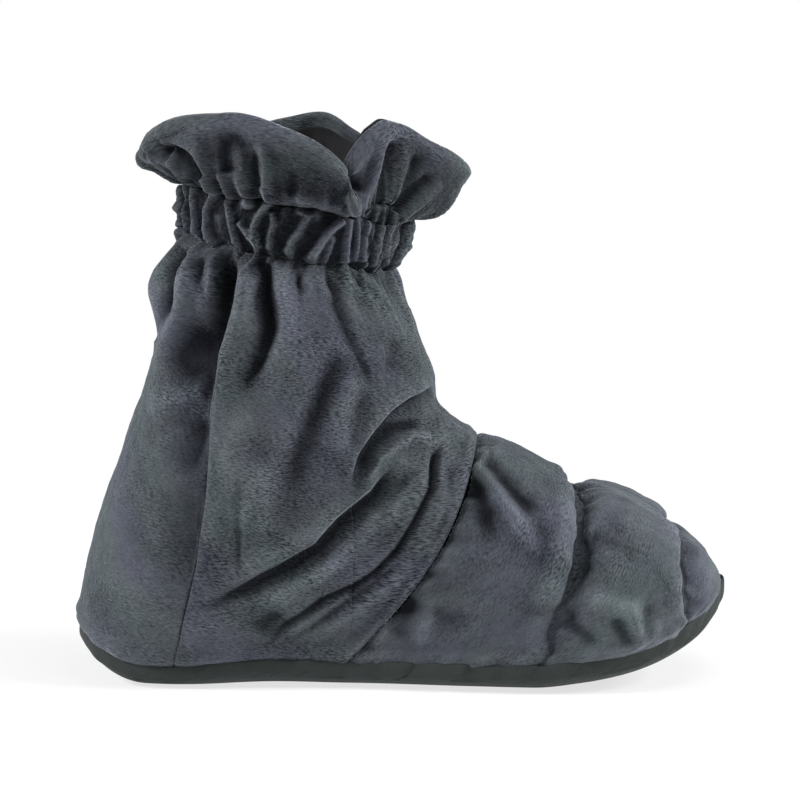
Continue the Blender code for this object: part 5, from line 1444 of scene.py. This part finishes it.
def ruffle_surface(angles, shares):
    """Outer face of the ruffle up to its wavy rim, its depth of folds and the face without them."""
    foot = cuff_ring(CASING_HEIGHT + SEAM_GAP, angles)
    out = cuff_outward(angles)
    side = np.stack([out[:, 1], -out[:, 0], 0 * angles], axis=-1)
    reach, shift, rise = (
        periodic_value([(row[0], row[k]) for row in RUFFLE_RIM_SHARES], angles)[:, None] * RUFFLE_HEIGHT
        for k in (1, 2, 3)
    )
    rim = foot + out * reach + side * shift + UP * rise
    ahead = np.clip(np.cos(np.radians(angles)), 0, 1)[:, None] ** 3
    stand = foot + UP * (RUFFLE_HEIGHT * (RUFFLE_STAND_SHARE - RUFFLE_STAND_DROP * ahead))
    stand = stand + out * (reach * RUFFLE_LEAN_SHARE)
    t = shares[:, None, None]
    surface = foot * (1 - t) ** 2 + stand * 2 * t * (1 - t) + rim * t**2
    surface[..., 2] += seam_wave(angles, 2) * (1 - shares[:, None]) ** 4
    up = arc_lengths(surface, 0)[..., None]
    kept = np.interp(np.mod(angles, FULL_TURN), *np.array(RUFFLE_FOLDS_KEPT).T)[None, :, None]
    gathered = casing_inward(cuff_ring(CASING_HEIGHT, angles)[None], angles, (1.0,))[..., None]
    pull = gathered * bell(up, 0.0125, 1.4) + 0.5 * (gathered - gathered.mean()) * bell(up, 0.020)
    drawn = drawn_folds(surface, RUFFLE_DRAWN, -1)[..., None]
    folds = RUFFLE_HEIGHT * ruffle_folds(angles, shares)[..., None] * kept
    deep = pull + folds + drawn * np.minimum(1, 3 * t)
    return surface - out * (deep + collar_pinch(up)), deep[..., 0], surface


def build_ruffle():
    """Plush ruffle with a rolled rim, and its dark lining."""
    angles = np.linspace(0, FULL_TURN, RUFFLE_COLUMNS, endpoint=False)
    shares = np.linspace(0, 1, RUFFLE_ROWS + 1)
    outer, deep, plain = ruffle_surface(angles, shares)
    blend = shares[:, None, None]
    outward = unit(grid_normals(outer, True) * blend**0.5 + cuff_outward(angles))
    up = arc_lengths(outer, 0)
    relief = pile_relief(angles[None] / FULL_TURN * RUFFLE_GIRTH, up, 130, RUFFLE_GIRTH)
    relief = relief * np.minimum(1, 6 * (1 - shares[:, None]))
    relief = relief + 0.00028 * noise_round(angles[None], 250, up / 0.0017, 138)
    below = up[-1:] - up
    rim = edge_dip(below, RIM_ROLL)
    roll = 0.0030 * bell(below - 0.0056, 0.0044) + 0.0008 * bell(below, 0.012)
    face = outer + outward * (relief * np.clip(up / 0.002, 0, 1) + roll - rim * 0.7)[..., None]
    thick = PLUSH + 0.0004 + 0.0012 * bell(below, 0.007) - rim * 0.6
    back = outer - outward * thick[..., None]
    # Painted shade in hollows and folds and over the face below the rim, with a painted highlight along the
    # rolled rim
    dark = 0.6 * hollows(face, outward, True) + 0.4 * np.clip(deep / 0.005, -0.8, 1)
    shade = np.clip(dark + 0.18 - 0.68 * bell(below, 0.011), -1, 1)
    cloth = cloth_map(plain, closed=True)
    cloth[..., 1] -= cloth[-1:, :, 1]
    piece = shell("ruffle_plush", face, back, cloth, PLUSH_RUFFLE, closed=True, shade=shade)
    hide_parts("ruffle")
    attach(piece, "cuff")
    build_ruffle_lining(angles, outer, outward)


def build_ruffle_lining(angles, outer, outward):
    """Dark lining of the ruffle, with a narrow flange from the shaft lining's top out to its foot."""
    peek = smooth_value(LINING_PEEK, angles)
    wrinkle = 0.0003 * noise_round(angles[None], 30, arc_lengths(outer, 0) / 0.012, 150)
    inner = outer - outward * (PLUSH + LAYER_GAP + 0.0005 + wrinkle)[..., None]
    beyond = inner[-1:] + unit(outer[-1:] - outer[-4:-3]) * 0.004
    whole, facing = np.concatenate([inner, beyond]), np.concatenate([outward, outward[-1:]])
    top_row = 0.90 * RUFFLE_ROWS + (0.10 * RUFFLE_ROWS + 0.12) * peek
    rows = np.linspace(0, 1, RUFFLE_LINING_ROWS)[:, None] * top_row[None]
    first = np.clip(rows.astype(int), 0, RUFFLE_ROWS)
    columns, part = np.arange(RUFFLE_COLUMNS)[None], (rows - first)[..., None]
    inner, level = (g[first, columns] * (1 - part) + g[first + 1, columns] * part for g in (whole, facing))
    ahead = cuff_outward(angles)
    tube_top = cuff_ring(CASING_HEIGHT + 0.0002, angles) - ahead * (LINING_INSET - 0.0001)
    crest = tube_top + UP * (np.maximum(seam_wave(angles, 2), 0) + 0.0004)[:, None]
    t = np.linspace(0, 1, FLANGE_ROWS + 1)[:-1, None, None]
    flange = crest * (1 - t) + inner[:1] * t
    inner = np.concatenate([tube_top[None], flange, inner])
    level = np.concatenate([ahead[None], unit(level[:1] * t**2 - UP * (1 - t**2) + 0.3 * ahead), level])
    back = inner - level * LINING
    piece = shell("ruffle_lining_cloth", inner, back, cloth_map(inner, closed=True), BLACK_CLOTH, closed=True)
    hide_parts("ruffle_lining")
    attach(piece, "cuff")


def footbed_loft(x, inward):
    """Height that the sole pads lift the footbed off the outsole."""
    share = x / SOLE_LENGTH
    height = np.zeros(np.shape(share))
    for _, start, end, puff in SOLE_PAD_SHARES:
        rise, fall = (np.clip(off / PAD_FADE_SHARE, 0, 1) for off in (share - start, end - share))
        height = np.maximum(height, puff * np.sqrt(rise * fall))
    across = np.clip((inward - TAPE_LIP) / CURL_WIDTH, 0, 1)
    return SOLE_PUFF * height * np.sin(across * math.pi / 2)


def sole_rows(places, level, loft):
    """Grid over the sole, from the right edge to the left, at a level above the outsole's underside."""
    lip_steps, bed_steps = 8, 16
    lip = np.linspace(TAPE + GAP, TAPE_LIP, lip_steps, endpoint=False)
    inward = np.concatenate([lip, np.linspace(TAPE_LIP, CURL_WIDTH, bed_steps)])
    half = []
    for distance in inward:
        plan = edge_points(places, distance)
        height = sole_height(plan[:, 0], distance) + level
        if loft:
            height = height + footbed_loft(plan[:, 0], distance)
        half.append(np.stack([plan[:, 0], -plan[:, 1], height], axis=-1))
    last = half[-1]
    for t in np.linspace(0, 1, bed_steps + 1)[1:]:
        column = last * (1, 1 - t, 1)
        if loft:
            rise = footbed_loft(column[:, 0], CURL_WIDTH * 2) - footbed_loft(column[:, 0], CURL_WIDTH)
            column[:, 2] += rise * t
        half.append(column)
    columns = half + [mirrored(c) for c in half[-2::-1]]
    return np.stack(columns, axis=1)


def build_sole():
    """Outsole, footbed, three grain pads and the binding tape."""
    places = np.linspace(0, 1, SOLE_STATIONS + 1)
    levels = edge_stack()
    under, over = sole_rows(places, 0, False), sole_rows(places, OUTSOLE, False)
    flat = under[..., :2].copy()
    ripple = 0.00025 * (noise(flat[..., 0] / 0.02, flat[..., 1] / 0.02, 160) + 0.6)
    free = np.clip(np.arange(under.shape[1]) / 10, 0, 1)
    free = np.minimum(free, free[::-1])[None]
    under = under + UP * (np.clip(ripple, 0, 1) * free)[..., None]
    piece = shell("outsole_cloth", over, under, flat, SOLE_CLOTH)
    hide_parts("outsole")
    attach(piece, "foot")

    lower, upper = (sole_rows(places, levels["footbed"] + rise, True) for rise in (0, FOOTBED))
    dents = 0.0004 * noise(flat[..., 0] / 0.016, flat[..., 1] / 0.016, 161) * free
    upper = upper + UP * np.clip(dents, -0.0003, 1)[..., None]
    piece = shell("footbed_cloth", upper, lower, flat, BLACK_CLOTH)
    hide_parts("footbed")
    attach(piece, "foot")

    for name, start, end, _ in SOLE_PAD_SHARES:
        stops = edge_share_at(np.array([start, end]) * SOLE_LENGTH)
        rows = np.linspace(stops[0], stops[1], PAD_STATIONS)
        bottom = sole_rows(rows, OUTSOLE + GAP, False)[3:-3, 12:-12]
        top = sole_rows(rows, OUTSOLE, True)[3:-3, 12:-12]
        top[..., 2] = np.maximum(top[..., 2], bottom[..., 2] + LINING)
        pouch("sole_" + name + "_pack", top, bottom)
    build_tape(levels)


def tape_section(low, high):
    """Ring of (inward, level) round the tape's section, and the first row of its standing edge."""
    middle, bulge = (low + high) / 2, (high - low) / 2
    lip = [TAPE_LIP * (1 - t) for t in np.linspace(0, 1, 8, endpoint=False)]
    lip = [inward for inward in lip if inward > TAPE_FLAT_END]
    flap = [
        (0.0004, high), (-0.0001, high + TAPE_LIFT * 0.5), (-0.0003, high + TAPE_LIFT),
        (-0.0007, high + TAPE_LIFT + 0.0003), (-0.0011, high + TAPE_LIFT), (TAPE_OUT, high + TAPE_LIFT * 0.4),
        (TAPE_OUT, middle + bulge / 2), (TAPE_OUT, middle),
    ]
    under = [
        (TAPE_OUT + TAPE_TURN_DEPTH * (1 - math.cos(a)), middle + bulge * math.sin(a))
        for a in np.linspace(math.pi / 2, -math.pi / 2, 13)[7:]
    ]
    outer = [(inward, high) for inward in lip] + flap + under + [(inward, low) for inward in lip[::-1]]
    outer = np.array(outer)
    inner = np.stack([np.maximum(outer[:, 0], TAPE), np.clip(outer[:, 1], low + TAPE, high - TAPE)], axis=-1)
    return np.concatenate([outer, inner[::-1]]), len(lip) + 1


def build_tape(levels):
    """Binding tape folded round the sole's edge, its free edge standing up and slightly puckered."""
    section, standing = tape_section(levels["tape"], levels["tape_top"])
    places = np.linspace(0, 1, EDGE_STATIONS + 1)
    right = np.stack([on_edge(places, inward, level) for inward, level in section], axis=1)
    for k, (inward, level) in enumerate(section):
        if inward < 0:
            right[:, k, 2] = on_edge(places, 0.0, level)[:, 2]
    loop = np.concatenate([right, mirrored(right[-2:0:-1])])
    along = arc_lengths(loop[:, :1], 0)[:, 0]
    total = along[-1]
    wave = noise(along / total * 40, 0.5, 170, 40) + 0.5 * noise(along / total * 110, 0.5, 171, 110)
    toe = smooth_value(TAPE_TOE_SHARES, loop[:, 0, 0] / SOLE_LENGTH)
    raised = np.zeros(len(section))
    raised[standing:standing + 4] = 1.0
    raised[standing + 4] = 0.4
    rise = np.clip(0.0006 * wave, -0.0006, 0.0010) + 0.0011 * toe
    loop = loop + UP * (rise[:, None] * raised[None])[..., None]
    slanted = (along[:, None] + 0.0016 * np.arange(len(section))[None]) / total
    crease = np.clip(1 - 5 * np.abs(noise(slanted * 64, 0.5, 172, 64)), 0, 1)
    bent = np.where(section[:, 0] < 0, 1.0, 0.0)[None] * ((0.00090 * wave)[:, None] - 0.0010 * crease)
    loop = loop + unit(loop[:, :1] * (1, 1, 0) - (SOLE_LENGTH / 2, 0, 0)) * bent[..., None]
    width, ahead = np.append(way_along(section), 0), np.append(along, total)
    cloth = np.stack(np.broadcast_arrays(ahead[:, None], width[None]), axis=-1)
    piece = tube("binding_tape_weave", loop, cloth, TAPE_CLOTH)
    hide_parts("binding_tape")
    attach(piece, "foot")


build_sole()
build_vamp()
build_shaft()
build_casing()
build_ruffle()


# Studio


def larger(tree, a, b):
    """Output of a node that gives the larger of two values."""
    return add_node(tree, "ShaderNodeMath", a, b, operation="MAXIMUM")[0]


def build_floor():
    """Pale floor under the slipper, seen as white away from it."""
    mesh = bpy.data.meshes.new("floor")
    low = -0.0004
    mesh.from_pydata([(-6, -6, low), (6, -6, low), (6, 6, low), (-6, 6, low)], [], [(0, 1, 2, 3)])
    floor = new_object("floor", mesh)
    paint = bpy.data.materials.new("floor_paint")
    paint.use_nodes = True
    tree = paint.node_tree
    shader = tree.nodes["Principled BSDF"]
    shader.inputs["Base Color"].default_value = (0.90, 0.90, 0.90, 1.0)
    shader.inputs["Roughness"].default_value = 0.9
    seen = add_node(tree, "ShaderNodeLightPath")
    direct = larger(tree, seen["Is Camera Ray"], seen["Is Glossy Ray"])
    direct = larger(tree, direct, seen["Is Transmission Ray"])
    place = add_node(tree, "ShaderNodeTexCoord")["Object"]
    far = add_node(tree, "ShaderNodeVectorMath", place, operation="LENGTH")["Value"]
    reach = add_node(tree, "ShaderNodeMapRange", far, 0.20, 0.75, 0.72, 1.0)[0]
    share = add_node(tree, "ShaderNodeMath", direct, reach, operation="MULTIPLY")[0]
    glow = add_node(tree, "ShaderNodeEmission")[0]
    mix = add_node(tree, "ShaderNodeMixShader", share, shader.outputs[0], glow)[0]
    tree.links.new(mix, tree.nodes["Material Output"].inputs["Surface"])
    mesh.materials.append(paint)


def build_surroundings():
    """Dim, cool light from all round, seen as white by the camera."""
    world = bpy.data.worlds.new("studio")
    bpy.context.scene.world = world
    world.use_nodes = True
    tree = world.node_tree
    room = tree.nodes["Background"]
    room.inputs["Color"].default_value = (0.94, 0.97, 1.0, 1.0)
    room.inputs["Strength"].default_value = 0.20
    white = add_node(tree, "ShaderNodeBackground", (1, 1, 1, 1), 1.0)[0]
    seen = add_node(tree, "ShaderNodeLightPath")
    straight = larger(tree, seen["Is Camera Ray"], seen["Is Transmission Ray"])
    mix = add_node(tree, "ShaderNodeMixShader", straight, room.outputs[0], white)[0]
    tree.links.new(mix, tree.nodes["World Output"].inputs["Surface"])


def build_lamps():
    """Soft lamps on both sides and above: name, place, size and power."""
    lamps = (
        ("left", (-1.50, -0.42, 1.10), 0.5, 33.0), ("right", (1.50, -0.32, 1.00), 0.6, 33.0),
        ("top", (0.5, -0.1, 1.6), 0.8, 10.0),
    )
    for name, place, size, power in lamps:
        lamp = bpy.data.lights.new(name, "AREA")
        lamp.size = size
        lamp.energy = power
        light = new_object(name, lamp)
        light.location = place
        light.rotation_euler = direction_euler(np.array([0, 0, 0.1]) - np.array(place))


def direction_euler(aim):
    """Rotation that points an object's -Z axis along a direction."""
    return Vector(aim).to_track_quat("-Z", "Y").to_euler()


def build_camera():
    """Camera in front of the near side, a little above it."""
    view_width, distance, elevation, lift = 0.3574, 1.1, math.radians(8), 0.122
    lens = bpy.data.cameras.new("camera")
    lens.angle = 2 * math.atan(view_width / 2 / distance)
    camera = new_object("camera", lens)
    away = np.array([0, -math.cos(elevation), math.sin(elevation)])
    camera.location = np.array([0, 0, lift]) + away * distance
    camera.rotation_euler = direction_euler(-away)
    bpy.context.scene.camera = camera


build_floor()
build_surroundings()
build_lamps()
build_camera()
bpy.context.scene.view_settings.view_transform = "Standard"
